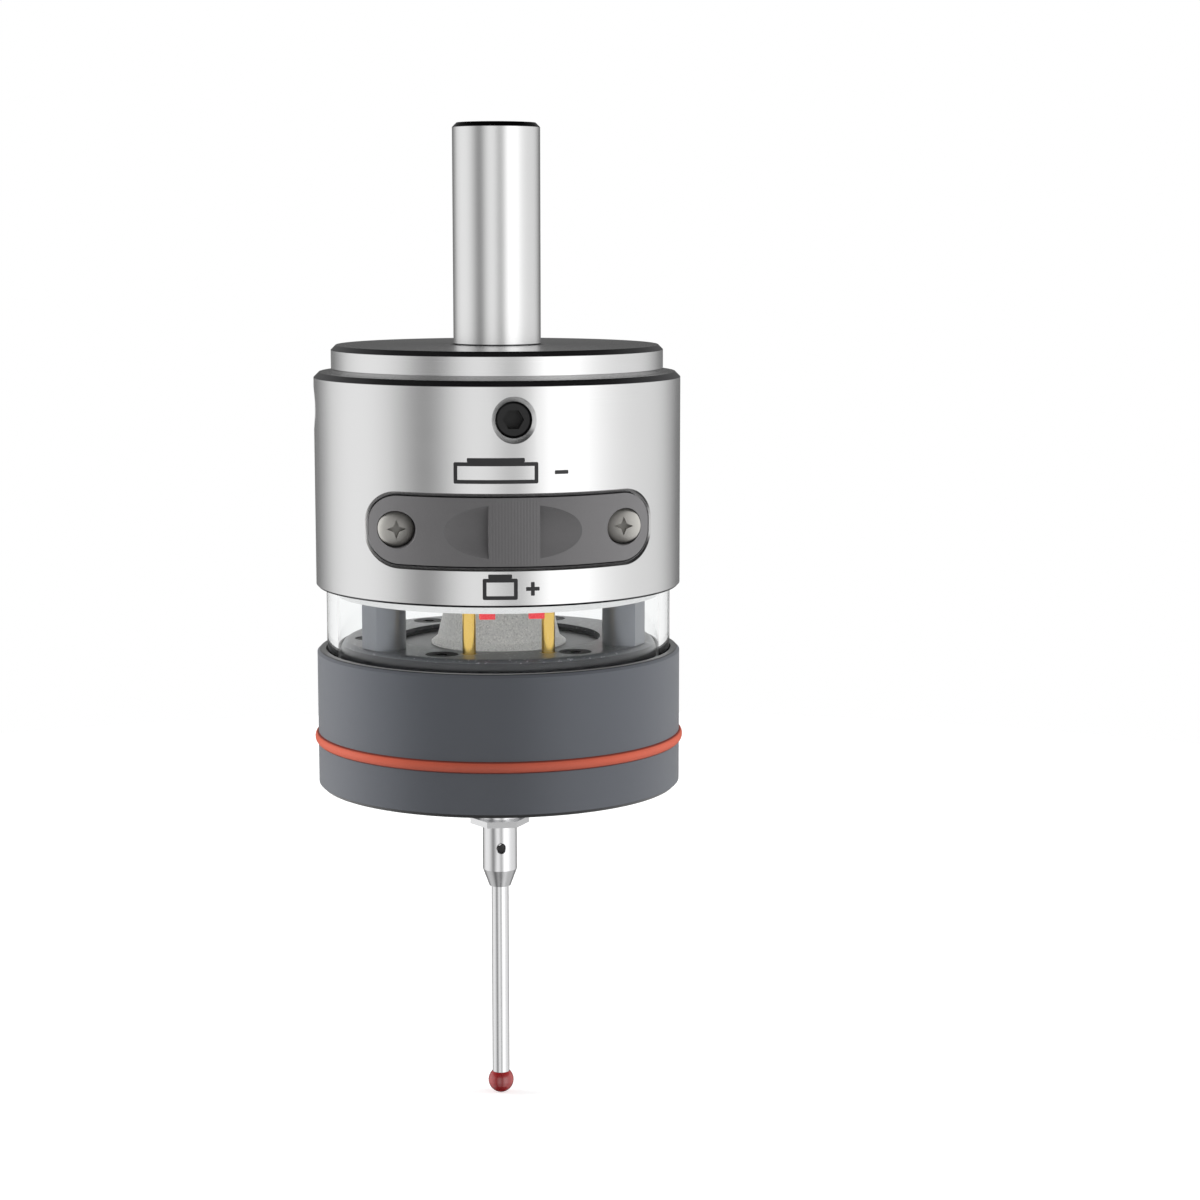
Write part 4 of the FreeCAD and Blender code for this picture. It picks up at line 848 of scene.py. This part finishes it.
# Marks above and below the battery cover: a coin cell seen from its edge, and its pole

marks = {                  # lengths and levels in mm
    "radius": 21.0,        # of the housing's wall
    "film": 0.012,         # thickness of the ink, half of it over the wall
    "stroke": 0.42,
    "cap": 0.46,           # height of the raised cap
    "capInset": 0.16,      # share of the cell's width at each end of the cap
    "frameRounding": 0.18, "capRounding": 0.1, "poleRounding": 0.08, "roundingSteps": 5,
    "colour": (34, 34, 36), "roughness": 0.45, "grain": 9000, "bump": 0.05, "bumpDepth": 0.01,
    # A cell is given by its left end, right end and height, and a pole by its two ends
    "upper": {"level": -12.9, "cell": (-6.6, 2.6, 1.9), "pole": (4.45, 6.0), "plus": False},
    "lower": {"level": -25.5, "cell": (-3.5, 0.3, 1.9), "pole": (1.2, 2.7), "plus": True},
}


def makeMarkInk():
    material, tree, sockets = startMaterial("markInk", {"Roughness": marks["roughness"]})
    skin = placeSkin(tree, marks)
    tree.links.new(skin["Colour"], sockets["Base Color"])
    addBump(tree, sockets, skin["Height"], marks["bump"], marks["bumpDepth"])
    return material


def addBar(shape, left, right, low, high, rounding=0):
    middle = Vector(((left + right) / 2, 0, (low + high) / 2)) * mm
    size = Matrix.Diagonal(((right - left) * mm, marks["film"] * mm, (high - low) * mm, 1))
    made = bmesh.ops.create_cube(shape, size=1.0, matrix=Matrix.Translation(middle) @ size)
    if rounding:
        corners = set(made["verts"])
        upright = [edge for edge in shape.edges if edge.verts[0] in corners
                   and abs(edge.verts[0].co.y - edge.verts[1].co.y) > marks["film"] * mm / 2]
        bmesh.ops.bevel(shape, geom=upright, offset=rounding * mm, offset_type="OFFSET", affect="EDGES",
                        segments=marks["roundingSteps"], profile=0.5, material=-1)


def bendRoundWall(shape, left, right):
    # Cut at every millimetre, and then laid round the housing
    for step in range(left, right):
        everything = shape.verts[:] + shape.edges[:] + shape.faces[:]
        bmesh.ops.bisect_plane(shape, geom=everything, plane_co=(step * mm, 0, 0), plane_no=(1, 0, 0))
    for vert in shape.verts:
        angle = vert.co.x / (marks["radius"] * mm)
        radius = marks["radius"] * mm - vert.co.y
        vert.co.x = radius * math.sin(angle)
        vert.co.y = -radius * math.cos(angle)


def makeMark(name, mark):
    left, right, height = mark["cell"]
    poleLeft, poleRight = mark["pole"]
    level = mark["level"]
    low = level - height / 2
    high = level + height / 2
    half = marks["stroke"] / 2
    shape = bmesh.new()
    # Outline of the cell as four bars, with the raised cap on top of it
    addBar(shape, left, right, low - half, low + half, marks["frameRounding"])
    addBar(shape, left, right, high - half, high + half, marks["frameRounding"])
    addBar(shape, left, left + marks["stroke"], low, high)
    addBar(shape, right - marks["stroke"], right, low, high)
    inset = (right - left) * marks["capInset"]
    addBar(shape, left + inset, right - inset, high + half, high + half + marks["cap"], marks["capRounding"])
    addBar(shape, poleLeft, poleRight, level - half, level + half, marks["poleRounding"])
    if mark["plus"]:
        middle = (poleLeft + poleRight) / 2
        reach = (poleRight - poleLeft) / 2
        addBar(shape, middle - half, middle + half, level - reach, level + reach, marks["poleRounding"])
    bendRoundWall(shape, int(left) - 1, int(poleRight) + 2)
    addPiece(name, shape, markInk, "root")


markInk = makeMarkInk()
makeMark("upperCellMark", marks["upper"])
makeMark("lowerCellMark", marks["lower"])
print("marks ready")
